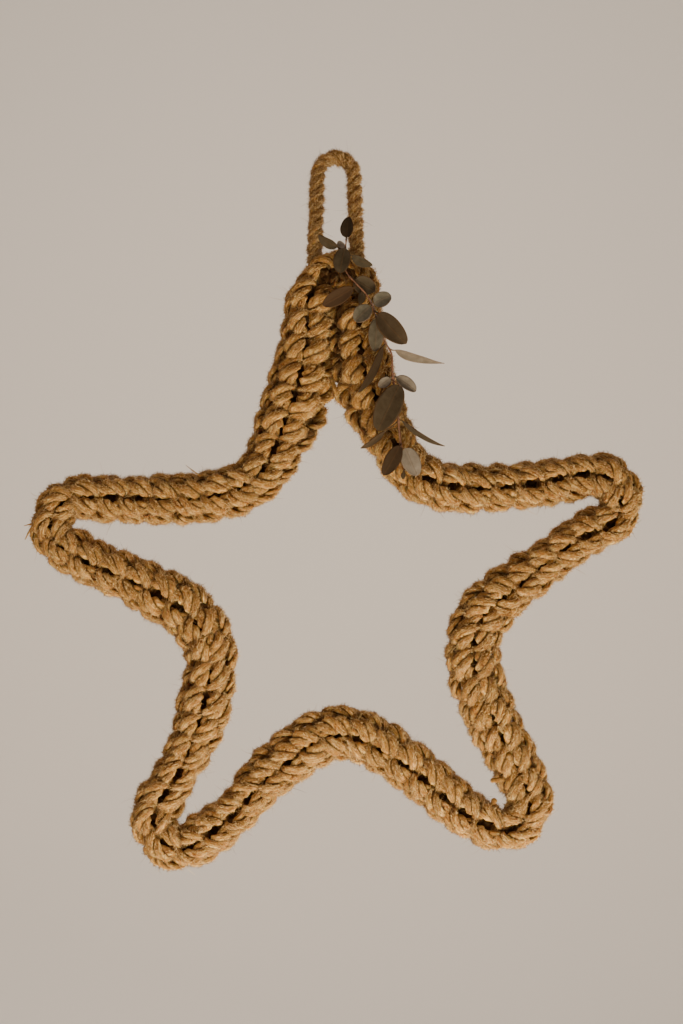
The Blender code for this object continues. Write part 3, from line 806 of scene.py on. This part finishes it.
def spun_jute(name, colours):
    """Spun jute: long dull fibres along each strand, dark between them, with paler stray ones."""
    groove, sink = JUTE_DEPTHS[name]
    material, tree, shader = new_material(name)
    fibre = add_node(tree, "Attribute", {"attribute_name": "fibre"}).outputs["Vector"]
    crest, opened, tint = (add_node(tree, "Attribute", {"attribute_name": mark}).outputs["Fac"]
                           for mark in ("crest", "open", "tint"))
    # Fibre bundles are about 0.3 mm across; they are drawn at 0.7 mm by 8 mm so that they show
    stretch = add_node(tree, "Mapping", Vector=fibre, Scale=(190.0, 1700.0, 3.0))
    streak = add_node(tree, "TexNoise", Vector=stretch, Scale=1.0, Detail=6.0, Roughness=0.68,
                      Distortion=0.5)
    # Tufts and clots of fibre of about 2.5 mm
    tuft_map = add_node(tree, "Mapping", Vector=fibre, Scale=(330.0, 480.0, 3.0))
    tuft = add_node(tree, "TexNoise", Vector=tuft_map, Scale=1.0, Detail=4.0, Roughness=0.65)
    both = add_node(tree, "Math", MULTIPLY_ADD, i0=tuft, i1=0.55, i2=streak)
    # Ends of single fibres, under 0.1 mm, are drawn as specks of about 0.8 mm
    speck_map = add_node(tree, "Mapping", Vector=fibre, Scale=(1000.0, 1300.0, 3.0))
    speck = add_node(tree, "TexNoise", Vector=speck_map, Scale=1.0, Detail=2.0, Roughness=0.5)
    ramp = add_node(tree, "ValToRGB", Fac=both)
    add_stops(ramp, [(0.60, (*colours.shade, 1.0)), (0.74, (*colours.body, 1.0)),
                     (0.80, (*colours.body, 1.0)), (0.91, (*colours.straw, 1.0))])
    # Each stitch has its own shade, and the specks lighten or darken it
    fine = add_node(tree, "MapRange", Value=speck, i1=0.3, i2=0.7, i3=0.84, i4=1.16)
    bright = add_node(tree, "MapRange", Value=tint, i3=0.74, i4=1.26)
    value = add_node(tree, "Math", MULTIPLY, i0=bright, i1=fine)
    toned = add_node(tree, "HueSaturation", Color=ramp, Value=value)
    # Painted shade: the grooves between strands and the rope inside the crochet, in the hollow and
    # in the seam are darkened, as little light reaches them
    hollow = add_node(tree, "MapRange", SMOOTH, Value=crest, i1=0.0, i2=0.45, i3=groove, i4=1.0)
    buried = add_node(tree, "MapRange", SMOOTH, Value=opened, i1=0.1, i2=0.9, i3=0.10, i4=1.0)
    dark = add_node(tree, "Math", MULTIPLY, i0=hollow, i1=buried)
    colour = add_node(tree, "Mix", COLOUR_MIX, i0=dark, i6=linear("#2b1003"), i7=toned)
    fuzz = add_node(tree, "Math", MULTIPLY_ADD, i0=speck, i1=0.7, i2=both)
    bump = add_node(tree, "Bump", Height=fuzz, Strength=0.6, Distance=0.0006)
    # Spun dry and left unpolished: no gloss, light sinking a little way in between the fibres,
    # and a faint pale down where the rope turns away from the eye
    set_inputs(tree, shader, {
        "Base Color": colour.outputs[2], "Normal": bump, "Roughness": 0.95, "IOR": 1.48,
        "Specular IOR Level": 0.1, "Subsurface Weight": 0.6,
        "Subsurface Radius": (1.0, 0.5, 0.25), "Subsurface Scale": sink,
        "Sheen Weight": 0.25, "Sheen Roughness": 0.6, "Sheen Tint": linear("#d8b47c")})
    return material


def loose_jute(name, colours):
    """Single loose fibres: pale and slightly shiny, each of its own shade."""
    material, tree, shader = new_material(name)
    tint = add_node(tree, "Attribute", {"attribute_name": "tint"}).outputs["Fac"]
    ramp = add_node(tree, "ValToRGB", Fac=tint)
    add_stops(ramp, [(0.0, (*colours.shade, 1.0)), (0.3, (*colours.body, 1.0)),
                     (0.8, (*colours.straw, 1.0)), (1.0, linear("#d2b27c"))])
    # Single fibres worked loose: straw pale against the rope, with only a dull sheen
    set_inputs(tree, shader, {"Base Color": ramp, "Roughness": 0.7})
    return material


def put(mesh, material, slot, *nodes):
    """Puts a piece into the scene on the wreath's one body, in place of its solids."""
    mesh.materials.append(material)
    piece = bpy.data.objects.new(mesh.name, mesh)
    bpy.context.scene.collection.objects.link(piece)
    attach(piece, "root")
    if nodes:
        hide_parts(*nodes)
    return piece


def crochet_column(tube, column, sizes, generator):
    """One rope of the crochet: a lobe outside and a return inside for every stitch."""
    name, degrees, lean, pressed, stagger, dive, inside_wider, turned_back = column
    angle = math.radians(degrees)
    stitches = round(tube.length / sizes.stitch_pitch)
    t = np.arange(stitches * STEPS_PER_STITCH) / STEPS_PER_STITCH

    def stray(size, places=t):
        """How far each ring strays, by a usual size."""
        return wander(generator, stitches, places, size)

    wave = np.sin(2 * math.pi * t)
    share = (t - FORWARD * wave / (2 * math.pi) + stagger + stray(PACE_STRAY)) / stitches
    inside = ((1 + np.cos(2 * math.pi * t)) / 2) ** DIVE_SHARPNESS
    outside = 1 - inside
    below = sizes.rope_diameter / 2 * LOBE_THICKNESS + dive * inside
    below = below + np.abs(stray(sizes.unevenness))
    sideways = -lean * wave + stray(sizes.unevenness)
    turned = angle + sideways / SECTION_RADIUS
    turned += math.radians(turned_back) * tube.at(share)[:, SQUEEZED]
    route = tube.point(share, turned, below)
    side = unit(tube.point(share, turned + ROUND_STEP, below) - route)
    ahead = tube.point(share + AHEAD_STEP, turned, below) - route
    outward = route - tube.point(share, turned, below + INWARD_STEP)
    spot = (route[:, (0, 2)] - np.array(HOLLOW_PLACE)) / np.array(HOLLOW_REACH)
    hollow = np.where(route[:, 1] < HOLLOW_BACK, np.exp(-(spot ** 2).sum(axis=1)), 0.0)
    sunk = np.minimum(route[:, 1] + HOLLOW_DEPTH * hollow, HOLLOW_BACK)
    route[:, 1] = np.where(route[:, 1] < HOLLOW_BACK, sunk, route[:, 1])
    facing = np.einsum("ij,ij->i", np.cross(ahead, side), outward)
    side *= np.where(facing < 0, -1.0, 1.0)[:, None]
    swell = 1 + stray(SWELL_STRAY)
    hidden = np.clip((inside - INSIDE_FROM) / INSIDE_OVER, 0.0, 1.0)
    room = tube.at(share)[:, INNER_REACH if math.cos(angle) < 0 else HALF_WIDTH]
    roomy = np.clip(room / (ARM_WIDTH / 2), *ROOM_LIMITS)
    wide = swell * (1 + (pressed * roomy - 1) * outside ** 2 + (inside_wider - 1) * hidden)
    thinner = (1 - LOBE_THICKNESS) * outside ** 2
    deep = swell * (1 - thinner + (INSIDE_THICKER - 1) * hidden)
    length = along_line(route, True)
    turns = round(PLIES * length[-1] / sizes.lay) / PLIES
    twist = 2 * math.pi * turns * length[:-1] / length[-1] + stray(TWIST_STRAY)
    # The open mark paints shade into the colour: on the rope's returns inside the crochet, in the
    # hollow between the top arms and, through the seam light, along the seam
    marks = {"run": length[:-1] % RUN_LENGTH, "open": outside * (1 - HOLLOW_SHADE * hollow),
             "light": tube.seam_light, "lot": stray(LOT_STRAY, t + 0.5)}
    return rope_mesh("rope_" + name, route, side, wide, deep, sizes.rope_diameter, twist, True,
                     marks, generator)


def loop_route(diameter):
    """The middle of the hanging loop, from inside the crochet over the bend and back into it."""
    bend = LOOP_BEND_SPACING / 2
    foot_x = LOOP_FOOT_SPACING / 2
    bend_z = diameter / 2 - bend
    left, right = LOOP_FEET
    points = [(-foot_x, left), (-(foot_x + bend) / 2, (left + bend_z) / 2)]
    for angle in np.linspace(math.pi, 0.0, LOOP_BEND_POINTS):
        points.append((bend * math.cos(angle), bend_z + bend * math.sin(angle)))
    points += [((foot_x + bend) / 2, (right + bend_z) / 2), (foot_x, right)]
    line = even_steps(smooth_curve(points, False, LOOP_CURVE_STEPS), LOOP_LINE_POINTS, False)
    first, last = ((x, z - LOOP_ROOT) for x, z in (line[0], line[-1]))
    line = even_steps(np.vstack([first, line, last]), LOOP_POINTS, False)
    upright = LOOP_UPRIGHT_SHARE * max(left, right)
    set_back = -BODY_SET_FORWARD * np.clip(line[:, 1] / upright, 0.0, 1.0)
    return np.column_stack([line[:, 0], set_back, line[:, 1]])


class WREATH_OT_crochet(bpy.types.Operator):
    """Crochet the star's tube from six ropes of jute."""

    bl_idname = "wreath.crochet"
    bl_label = "Crocheted star"

    def execute(self, context):
        sizes = context.scene.wreath_crochet
        generator = np.random.default_rng(SEED)
        tube = StarTube()
        jute = spun_jute("spun_jute_rope", sizes)
        for column in COLUMNS:
            mesh = crochet_column(tube, column, sizes, generator)
            put(mesh, jute, "jute_crochet", "crocheted_star")
        return {"FINISHED"}


class WREATH_OT_loop(bpy.types.Operator):
    """Lay the rope's hanging loop."""

    bl_idname = "wreath.loop"
    bl_label = "Hanging loop"

    def execute(self, context):
        sizes = context.scene.wreath_crochet
        generator = np.random.default_rng(SEED + 1)
        route = loop_route(sizes.rope_diameter)
        count = len(route)
        length = along_line(route, False)
        side = np.tile(FRONT, (count, 1))
        worn = 1 + LOOP_WAVE * np.sin(length * LOOP_WAVES)
        worn += generator.normal(0.0, LOOP_STRAY, count)
        marks = {"run": length, "open": np.ones(count), "lot": np.full(count, LOOP_LOT)}
        mesh = rope_mesh("rope_hanging_loop", route, side, worn, worn, sizes.rope_diameter,
                         2 * math.pi * length / sizes.loop_lay, False, marks, generator)
        piece = put(mesh, spun_jute("spun_jute_loop", sizes), "jute_loop", "hanging_loop")
        return {"FINISHED"}


class WREATH_OT_yarn_ends(bpy.types.Operator):
    """Leave the cut ends of the yarn that stick out of the crochet."""

    bl_idname = "wreath.yarn_ends"
    bl_label = "Yarn ends"

    def execute(self, context):
        generator = np.random.default_rng(SEED + 4)
        around = np.linspace(0.0, 2 * math.pi, END_AROUND, endpoint=False)
        u = np.linspace(0.0, 1.0, END_RINGS)
        knobbed = np.clip((u - END_KNOB_FROM) / END_KNOB_OVER, 0.0, 1.0)
        rounded = np.sqrt(np.clip((END_STOP - u) / END_ROUNDING, 0.0, 1.0))
        points, faces, fibre = [], [], []
        for start, end, thickness, knob in YARN_ENDS:
            middle = np.array(start) + u[:, None] * (np.array(end) - np.array(start))
            middle += (END_BOW * np.sin(math.pi * u))[:, None] * FRONT
            ahead = unit(np.gradient(middle, axis=0))
            side = unit(np.cross(ahead, FRONT))
            half = thickness / 2 * (1 + (knob - 1) * knobbed) * rounded
            lumps = generator.normal(size=(END_RINGS, END_AROUND))
            grown = half[:, None] * (1 + END_LUMPS * lumps)
            first = len(points)
            points += ring_points(middle, side, np.cross(side, ahead), grown * np.cos(around),
                                  grown * np.sin(around)).tolist()
            faces += [[first + k for k in face]
                      for face in ring_faces(END_RINGS, END_AROUND, mirrored=True)]
            fibre += [(share * END_RUN, turn * END_ACROSS, first) for share in u for turn in around]
        mesh = new_mesh("yarn_ends", points, faces)
        opened = np.full(len(points), END_OPEN)
        set_marks(mesh, fibre=fibre, crest=opened, open=opened,
                  tint=np.full(len(points), END_TINT))
        jute = spun_jute("spun_jute_end", context.scene.wreath_crochet)
        put(mesh, jute, "jute_crochet")
        return {"FINISHED"}


def fibre_mesh(name, roots, along, outward, lengths, thickness, lift, generator, segments):
    """Thin tapering fibres that start in a rope, follow a strand and curl away from it."""
    count = len(roots)
    lift = lift[:, None]
    sway = unit(generator.normal(size=(count, 3)))
    way = np.where(generator.random(count) < 0.5, -1.0, 1.0)[:, None]
    start = unit(way * along * (FIBRE_FOLLOW - lift) + lift * outward + FIBRE_SWAY * sway)
    bend = np.cross(start, unit(generator.normal(size=(count, 3))))
    bend *= generator.uniform(*FIBRE_BENDS, count)[:, None]
    u = np.linspace(0.0, 1.0, segments + 1)[:, None]
    line = roots[:, None, :] + lengths[:, None, None] * (
        u * start[:, None, :] + u ** 2 * bend[:, None, :])
    across = unit(np.cross(start, outward + FIBRE_ROLL * sway))
    rows = []
    for k in range(segments):
        half = thickness[:, None] * (1 - FIBRE_TAPER * u[k]) / 2 * across
        rows += [line[:, k] - half, line[:, k] + half]
    rows.append(line[:, segments])
    per = len(rows)
    pattern = []
    for low in range(0, per - 3, 2):
        pattern += [(low, low + 1, low + 3), (low, low + 3, low + 2)]
    pattern = np.array(pattern + [(per - 3, per - 2, per - 1)])
    faces = (np.arange(count)[:, None, None] * per + pattern).reshape(-1, 3)
    mesh = new_mesh(name, np.stack(rows, axis=1).reshape(-1, 3), faces.tolist())
    cells = math.ceil(math.sqrt(count))
    row, column = np.divmod(np.arange(count), cells)
    (left, wide), (low, high) = MAP_CELL
    spots = np.array([(left + wide * (j % 2), low + high * (j // 2) / segments)
                      for j in range(per)])
    set_bake_map(mesh, (np.stack([column, row], axis=1)[:, None, :]
                        + spots[pattern.ravel()]) / cells)
    set_marks(mesh, tint=np.repeat(generator.random(count), per))
    return mesh


def rope_skin(piece):
    """Points, outward and strand directions, middle, openness and crest of a rope's rings."""
    mesh = piece.data
    read = []
    for values, field, width in ((mesh.vertices, "co", 3),
                                 (mesh.attributes["open"].data, "value", 1),
                                 (mesh.attributes["crest"].data, "value", 1)):
        found = np.empty(len(values) * width, np.float32)
        values.foreach_get(field, found)
        read.append(found.reshape(-1, PLIES * POINTS_PER_PLY, width))
    points, opened, crest = read[0].astype(float), read[1][:, :, 0], read[2][:, :, 0]
    middle = points.mean(axis=1)
    ahead = np.roll(points, -1, axis=0) - np.roll(points, 1, axis=0)
    return points, points - middle[:, None, :], ahead, middle, opened, crest


class WREATH_OT_fibres(bpy.types.Operator):
    """Raise the loose fibres that stand out from the rope."""

    bl_idname = "wreath.fibres"
    bl_label = "Loose fibres"

    def execute(self, context):
        sizes = context.scene.wreath_crochet
        generator = np.random.default_rng(SEED + 2)
        roots, along, outward = [], [], []
        for piece in context.scene.objects:
            if not piece.name.startswith("rope_"):
                continue
            points, away, ahead, middle, opened, crest = rope_skin(piece)
            keep = (opened > FIBRE_OPEN) & (crest > FIBRE_CREST)
            if piece.name != "rope_hanging_loop":
                out = unit(middle - self.tube_middle(middle))
                keep &= np.einsum("ijk,ik->ij", away, out) > FIBRE_OUTSIDE
            else:
                keep, points, away, ahead = (np.repeat(rows, LOOP_HAIRIER, axis=0)
                                             for rows in (keep, points, away, ahead))
            keep[:LOOP_HAIRIER] = keep[-LOOP_HAIRIER:] = False
            roots.append(points[keep])
            outward.append(unit(away[keep]))
            along.append(unit(ahead[keep]))
        roots, along, outward = (np.vstack(rows) for rows in (roots, along, outward))
        fibre = loose_jute("loose_jute_fibre", sizes)
        least, reach, *odds = FIBRE_LENGTHS
        for name, share, longest, thick, low, high, segments in FIBRE_KINDS:
            count = int(sizes.fibres * share)
            pick = generator.integers(0, len(roots), count)
            lengths = longest * (least + reach * generator.beta(*odds, count))
            width = thick * generator.uniform(*FIBRE_WIDTHS, count)
            lift = generator.uniform(low, high, count)
            start = generator.uniform(-ROOT_ALONG, ROOT_ALONG, (count, 1)) * along[pick]
            start = roots[pick] + start + generator.normal(0.0, ROOT_STRAY, (count, 3))
            mesh = fibre_mesh(name, start, along[pick], outward[pick], lengths, width, lift,
                              generator, segments)
            put(mesh, fibre, "jute_crochet")
        return {"FINISHED"}

    @staticmethod
    def tube_middle(points):
        """Nearest places on the middle of the crocheted tube."""
        line = star_line(LINE_POINTS // 2)
        flat = points[:, (0, 2)]
        nearest = np.empty(len(points), int)
        for start in range(0, len(points), COMPARED_AT_ONCE):
            part = slice(start, start + COMPARED_AT_ONCE)
            gap = ((flat[part, None, :] - line[None, :, :2]) ** 2).sum(axis=2)
            nearest[part] = gap.argmin(axis=1)
        found = line[nearest]
        set_back = np.full(len(points), -BODY_SET_FORWARD)
        return np.column_stack([found[:, 0], set_back, found[:, 1]])


def stem_line():
    """The stem in space: it stands off the rope and dips to it at its foot."""
    route = [on_star(x, z) for x, z in STEM_ROUTE]
    flat = even_steps(smooth_curve(route, False), SOLID_STEM_POINTS, False)
    front = -BODY_SET_FORWARD - ARM_DEPTH / 2
    foot = SOLID_STEM_DIAMETER / 2 + GAP
    place = np.linspace(0.0, 1.0, len(flat))
    dip = np.maximum(0.0, (place - STEM_DIP_PLACE) / (1.0 - STEM_DIP_PLACE)) ** 2
    off = STEM_STAND_OFF + (foot - STEM_STAND_OFF) * dip
    return np.column_stack([flat[:, 0], front - off, flat[:, 1]])


def stem_place(line, place):
    """The point at a share of the stem's length, and the stem's direction there."""
    along = along_line(line, False)
    slope = np.gradient(line, along, axis=0)
    length = place * along[-1]
    node = np.array([np.interp(length, along, line[:, k]) for k in range(3)])
    tangent = np.array([np.interp(length, along, slope[:, k]) for k in range(3)])
    return node, tangent / np.linalg.norm(tangent)


def leaf_axes(heading, turn, lean):
    """The blade's own directions: along it, across it and out of its upper face."""
    heading, turn, lean = (math.radians(a) for a in (heading, turn, lean))
    flat = np.array((math.cos(heading), 0.0, math.sin(heading)))
    forward = flat * math.cos(lean) + FRONT * math.sin(lean)
    facing = FRONT * math.cos(lean) - flat * math.sin(lean)
    side = np.cross(forward, facing)
    across = side * math.cos(turn) + facing * math.sin(turn)
    return forward, side, across, facing * math.cos(turn) - side * math.sin(turn)


def leaf_mesh(values, line, sizes, generator):
    """A thin dried blade on its stalk, cupped, creased along its rib and waved at its edge."""
    (name, place, heading, stalk, long, wide, turn, lean, layer, shift,
     roundness, belly, cup, tip_curl) = values
    node, tangent = stem_place(line, place)
    forward, side, across, upward = leaf_axes(heading, turn, lean)
    beside = forward - forward.dot(tangent) * tangent
    toward = math.copysign(1.0, layer) * FRONT if layer else beside / np.linalg.norm(beside)
    half_stalk = abs(across.dot(toward)) * STALK_WIDTH / 2
    half_stalk += abs(upward.dot(toward)) * SOLID_LEAF_THICKNESS / 2
    lift = SOLID_STEM_DIAMETER / 2 + GAP + half_stalk
    foot = node + STALK_FOOT * lift * toward
    base = node + max(1, abs(layer)) * lift * toward
    base = base + sizes.leaf_length * (stalk * forward + shift * side)
    length = long * sizes.leaf_length
    columns = np.linspace(-1.0, 1.0, 2 * LEAF_HALF_COLUMNS + 1)
    wave_start = generator.uniform(0.0, EDGE_WAVE_START)
    bend = generator.normal(0.0, LEAF_BEND)
    points, blade, edge = [], [], []
    for row in range(STALK_ROWS + LEAF_ROWS + 1):
        t = max(0, row - STALK_ROWS) / LEAF_ROWS
        if row < STALK_ROWS:
            u = row / STALK_ROWS
            middle = foot + (base - foot) * u + STALK_BOW * math.sin(math.pi * u) * upward
            half = STALK_HALF_WIDTH + STALK_FLARE * (1 - u)
        else:
            middle = base + t * length * forward + bend * length * t * t * across
            middle = middle - (LEAF_DROOP + tip_curl * t * t) * length * t * t * upward
            shape = max(0.0, math.sin(math.pi * t ** belly)) ** roundness
            half = max(BLADE_FOOT * (1 - t) + BLADE_TIP, wide * sizes.leaf_width * shape / 2)
        for u in columns:
            rise = cup * half * u * u + LEAF_FOLD * half * abs(u)
            if row >= STALK_ROWS:
                waves = EDGE_WAVES * t + wave_start + (EDGE_WAVE_LAG if u > 0 else 0)
                rise += EDGE_WAVE_HEIGHT * half * math.sin(waves) * abs(u) ** 3
            reach = u * half * math.cos(CUP_NARROWING * cup * abs(u))
            points.append(middle + reach * across + rise * upward)
            blade.append((u * half, t * length,
                          generator.uniform(0, PATTERN_STRAY) + place * LEAF_PATTERN))
            edge.append(abs(u))
    per = len(columns)
    faces = [(r * per + k, r * per + k + 1, (r + 1) * per + k + 1, (r + 1) * per + k)
             for r in range(STALK_ROWS + LEAF_ROWS) for k in range(per - 1)]
    mesh = new_mesh("blade_" + name, points, faces)
    set_marks(mesh, blade=blade, edge=edge,
              reddish=np.full(len(points), REDDISH_LEAVES.get(name, USUAL_REDDISH)),
              lightness=np.full(len(points), LEAF_LIGHTNESS.get(name, 1.0)))
    return mesh


def dried_eucalyptus(name, face, bloom, dried, rim):
    """Air-dried eucalyptus: dull waxy bloom, with a browner rib, fine side veins and rim."""
    face, bloom, dried, rim = ((*colour, 1.0) for colour in (face, bloom, dried, rim))
    material, tree, shader = new_material(name)
    blade = add_node(tree, "Attribute", {"attribute_name": "blade"}).outputs["Vector"]
    edge, reddish, lightness = (
        add_node(tree, "Attribute", {"attribute_name": mark}).outputs["Fac"]
        for mark in ("edge", "reddish", "lightness"))
    # Bloom and drying blotches of about 4 mm
    blotch = add_node(tree, "TexNoise", Vector=blade, Scale=260.0, Detail=4.0, Roughness=0.6)
    tone = add_node(tree, "ValToRGB", Fac=blotch)
    add_stops(tone, [(0.3, face), (0.72, bloom)])
    aged = add_node(tree, "Mix", COLOUR_MIX, i0=reddish, i6=tone, i7=dried)
    # The midrib is about 0.5 mm wide
    split = add_node(tree, "SeparateXYZ", Vector=blade)
    away = add_node(tree, "Math", {"operation": "ABSOLUTE"}, i0=split.outputs["X"])
    rib = add_node(tree, "MapRange", SMOOTH, Value=away, i1=0.0001, i2=0.0005, i3=1.0, i4=0.0)
    # Side veins leave the rib at about 45 degrees, 1.8 mm apart
    slant = add_node(tree, "Math", MULTIPLY_ADD, i0=away, i1=-0.9, i2=split.outputs["Y"])
    beat = add_node(tree, "Math", MULTIPLY, i0=slant, i1=2 * math.pi / 0.0018)
    vein = add_node(tree, "Math", {"operation": "SINE"}, i0=beat)
    raised = add_node(tree, "MapRange", SMOOTH, Value=vein, i1=0.75, i2=1.0, i3=0.0, i4=0.28)
    lines = add_node(tree, "Math", {"operation": "MAXIMUM"}, i0=rib, i1=raised)
    soft = add_node(tree, "Math", MULTIPLY, i0=lines, i1=0.28)
    veined = add_node(tree, "Mix", COLOUR_MIX, i0=soft, i6=aged.outputs[2], i7=rim)
    border = add_node(tree, "MapRange", SMOOTH, Value=edge, i1=0.86, i2=1.0, i3=0.0, i4=0.55)
    rimmed = add_node(tree, "Mix", COLOUR_MIX, i0=border, i6=veined.outputs[2], i7=rim)
    # A lighter leaf is greyer, as with more grey bloom; on leaf_tip_bud the lightness is painted
    # light that lifts it out of shade
    greyed = add_node(tree, "Math", {"operation": "POWER"}, i0=lightness, i1=-0.28)
    strength = add_node(tree, "Math", {"operation": "MINIMUM"}, i0=greyed, i1=1.0)
    toned = add_node(tree, "HueSaturation", Color=rimmed.outputs[2], Value=lightness,
                     Saturation=strength)
    # The blade's own grain, about 0.4 mm
    grain = add_node(tree, "TexNoise", Vector=blade, Scale=2600.0, Detail=3.0)
    height = add_node(tree, "Math", MULTIPLY_ADD, i0=grain, i1=0.35, i2=lines)
    bump = add_node(tree, "Bump", Height=height, Strength=0.5, Distance=0.00025)
    # Dried in air under its own wax: a leathery grey brown that hardly shines
    set_inputs(tree, shader, {"Base Color": toned, "Normal": bump, "Roughness": 0.85,
                              "IOR": 1.45, "Specular IOR Level": 0.06})
    return material


def young_bark(name, bark, dark):
    """Dried young eucalyptus bark: smooth orange brown with darker specks."""
    material, tree, shader = new_material(name)
    place = add_node(tree, "TexCoord").outputs["Object"]
    # Specks of about 1 mm, and places between them where the skin is rubbed paler
    speck = add_node(tree, "TexNoise", Vector=place, Scale=1000.0, Detail=3.0)
    tone = add_node(tree, "ValToRGB", Fac=speck)
    worn = (RUBBED_PALER * part for part in bark)
    add_stops(tone, [(0.3, (*dark, 1.0)), (0.55, (*bark, 1.0)), (0.8, (*worn, 1.0))])
    bump = add_node(tree, "Bump", Height=speck, Strength=0.4, Distance=0.0002)
    # Smooth young skin, dried: a soft broad highlight down the stem
    set_inputs(tree, shader, {"Base Color": tone, "Normal": bump, "Roughness": 0.6})
    return material


class WREATH_OT_stem(bpy.types.Operator):
    """Lay the sprig's stem with its nodes."""

    bl_idname = "wreath.stem"
    bl_label = "Sprig stem"

    def execute(self, context):
        sizes = context.scene.wreath_sprig
        fine = even_steps(smooth_curve(stem_line(), False), STEM_RINGS, False, width=3)
        place = np.linspace(0.0, 1.0, STEM_RINGS)
        radius = sizes.stem_diameter / 2 * (STEM_TIP_SHARE + STEM_GROWTH * place)
        for values in LEAVES:
            radius += NODE_SWELL * np.exp(-((place - values[1]) / NODE_REACH) ** 2)
        radius = np.minimum(radius, STEM_GREATEST_RADIUS)[:, None]
        ahead = unit(np.gradient(fine, axis=0))
        side = unit(np.cross(ahead, FRONT))
        around = np.linspace(0.0, 2 * math.pi, STEM_AROUND, endpoint=False)
        points = ring_points(fine, side, np.cross(side, ahead), radius * np.cos(around),
                             radius * np.sin(around))
        mesh = new_mesh("twig_stem", points, ring_faces(STEM_RINGS, STEM_AROUND, mirrored=True))
        bark = young_bark("young_eucalyptus_bark", sizes.bark, sizes.bark_speck)
        put(mesh, bark, "stem_bark", "sprig_stem")
        return {"FINISHED"}


class WREATH_OT_leaves(bpy.types.Operator):
    """Set the dried leaves on the stem."""

    bl_idname = "wreath.leaves"
    bl_label = "Leaves"

    def execute(self, context):
        sizes = context.scene.wreath_sprig
        generator = np.random.default_rng(SEED + 3)
        dark = dried_eucalyptus("dried_eucalyptus_dark", sizes.face, sizes.bloom, sizes.dried,
                                sizes.rim)
        pale = dried_eucalyptus("dried_eucalyptus_pale", sizes.pale_face, sizes.pale_bloom,
                                sizes.pale_dried, sizes.pale_rim)
        line = stem_line()
        for values in LEAVES:
            mesh = leaf_mesh(values, line, sizes, generator)
            is_pale = values[0] in PALE_LEAVES
            leaf = put(mesh, pale if is_pale else dark,
                       "pale_dried_leaf" if is_pale else "dried_leaf", values[0])
            shell = leaf.modifiers.new("thickness", "SOLIDIFY")
            shell.thickness = sizes.leaf_thickness
            shell.offset = 0.0
        return {"FINISHED"}


class WREATH_OT_stage(bpy.types.Operator):
    """Set out the pale floor and backdrop, the soft lights and the camera."""

    bl_idname = "wreath.stage"
    bl_label = "Stage"

    def execute(self, context):
        scene = context.scene
        look = scene.wreath_stage
        floor, back, bend = SWEEP_FLOOR, SWEEP_BACK, SWEEP_BEND
        rows = [(SWEEP_FRONT, floor), (back - bend, floor)]
        for a in np.linspace(0.0, math.pi / 2, SWEEP_STEPS + 1)[1:]:
            rows.append((back - bend + bend * math.sin(a), floor + bend - bend * math.cos(a)))
        rows.append((back, SWEEP_TOP))
        points = [(x, y, z) for y, z in rows for x in (-SWEEP_SIDE, SWEEP_SIDE)]
        faces = [(2 * i, 2 * i + 1, 2 * i + 3, 2 * i + 2) for i in range(len(rows) - 1)]
        mesh = new_mesh("stage_sweep", points, faces)
        material, tree, shader = new_material("matt_painted_sweep")
        # Painted matt: an even pale ground with no reflection
        set_inputs(tree, shader, {"Base Color": (*look.sweep, 1.0), "Roughness": 0.9})
        mesh.materials.append(material)
        sweep = bpy.data.objects.new("stage_sweep", mesh)
        scene.collection.objects.link(sweep)
        world = bpy.data.worlds.new("soft_daylight")
        scene.world = world
        world.use_nodes = True
        set_inputs(world.node_tree, world.node_tree.nodes["Background"],
                   {"Color": (*look.daylight, 1.0), "Strength": look.brightness})
        for name, place, target, size, power, colour in LIGHTS:
            lamp = bpy.data.lights.new(name, "AREA")
            lamp.shape = "DISK"
            lamp.size = size
            lamp.energy = power
            lamp.color = linear(colour)[:3]
            lit = bpy.data.objects.new(name, lamp)
            scene.collection.objects.link(lit)
            lit.location = place
            aim = Vector(target) - Vector(place)
            lit.rotation_euler = aim.to_track_quat("-Z", "Y").to_euler()
            lit.visible_camera = False
        camera = bpy.data.cameras.new("camera")
        camera.lens = CAMERA_LENS
        camera.sensor_width = CAMERA_SENSOR
        seen = bpy.data.objects.new("camera", camera)
        scene.collection.objects.link(seen)
        seen.location = CAMERA_PLACE
        seen.rotation_euler = (math.pi / 2, 0.0, 0.0)
        scene.camera = seen
        return {"FINISHED"}


OPERATORS = (WREATH_OT_stage, WREATH_OT_crochet, WREATH_OT_loop, WREATH_OT_yarn_ends,
             WREATH_OT_fibres, WREATH_OT_stem, WREATH_OT_leaves)


class WREATH_PT_parts(bpy.types.Panel):
    """Lists the wreath's pieces."""

    bl_label = "Jute star wreath"
    bl_space_type = "VIEW_3D"
    bl_region_type = "UI"
    bl_category = "Wreath"

    def draw(self, context):
        for kind in OPERATORS:
            self.layout.operator(kind.bl_idname)


CLASSES = (CrochetSettings, SprigSettings, StageSettings, *OPERATORS, WREATH_PT_parts)


def register():
    """Registers the classes and gives the scene its settings."""
    for kind in CLASSES:
        bpy.utils.register_class(kind)
    bpy.types.Scene.wreath_crochet = bpy.props.PointerProperty(type=CrochetSettings)
    bpy.types.Scene.wreath_sprig = bpy.props.PointerProperty(type=SprigSettings)
    bpy.types.Scene.wreath_stage = bpy.props.PointerProperty(type=StageSettings)


def unregister():
    """Takes the scene's settings and the classes away again."""
    del bpy.types.Scene.wreath_crochet
    del bpy.types.Scene.wreath_sprig
    del bpy.types.Scene.wreath_stage
    for kind in reversed(CLASSES):
        bpy.utils.unregister_class(kind)


def main():
    """Builds the stage and the wreath."""
    register()
    bpy.ops.wreath.stage()
    bpy.ops.wreath.crochet()
    bpy.ops.wreath.loop()
    bpy.ops.wreath.yarn_ends()
    bpy.ops.wreath.fibres()
    bpy.ops.wreath.stem()
    bpy.ops.wreath.leaves()


if __name__ == "__main__":
    main()
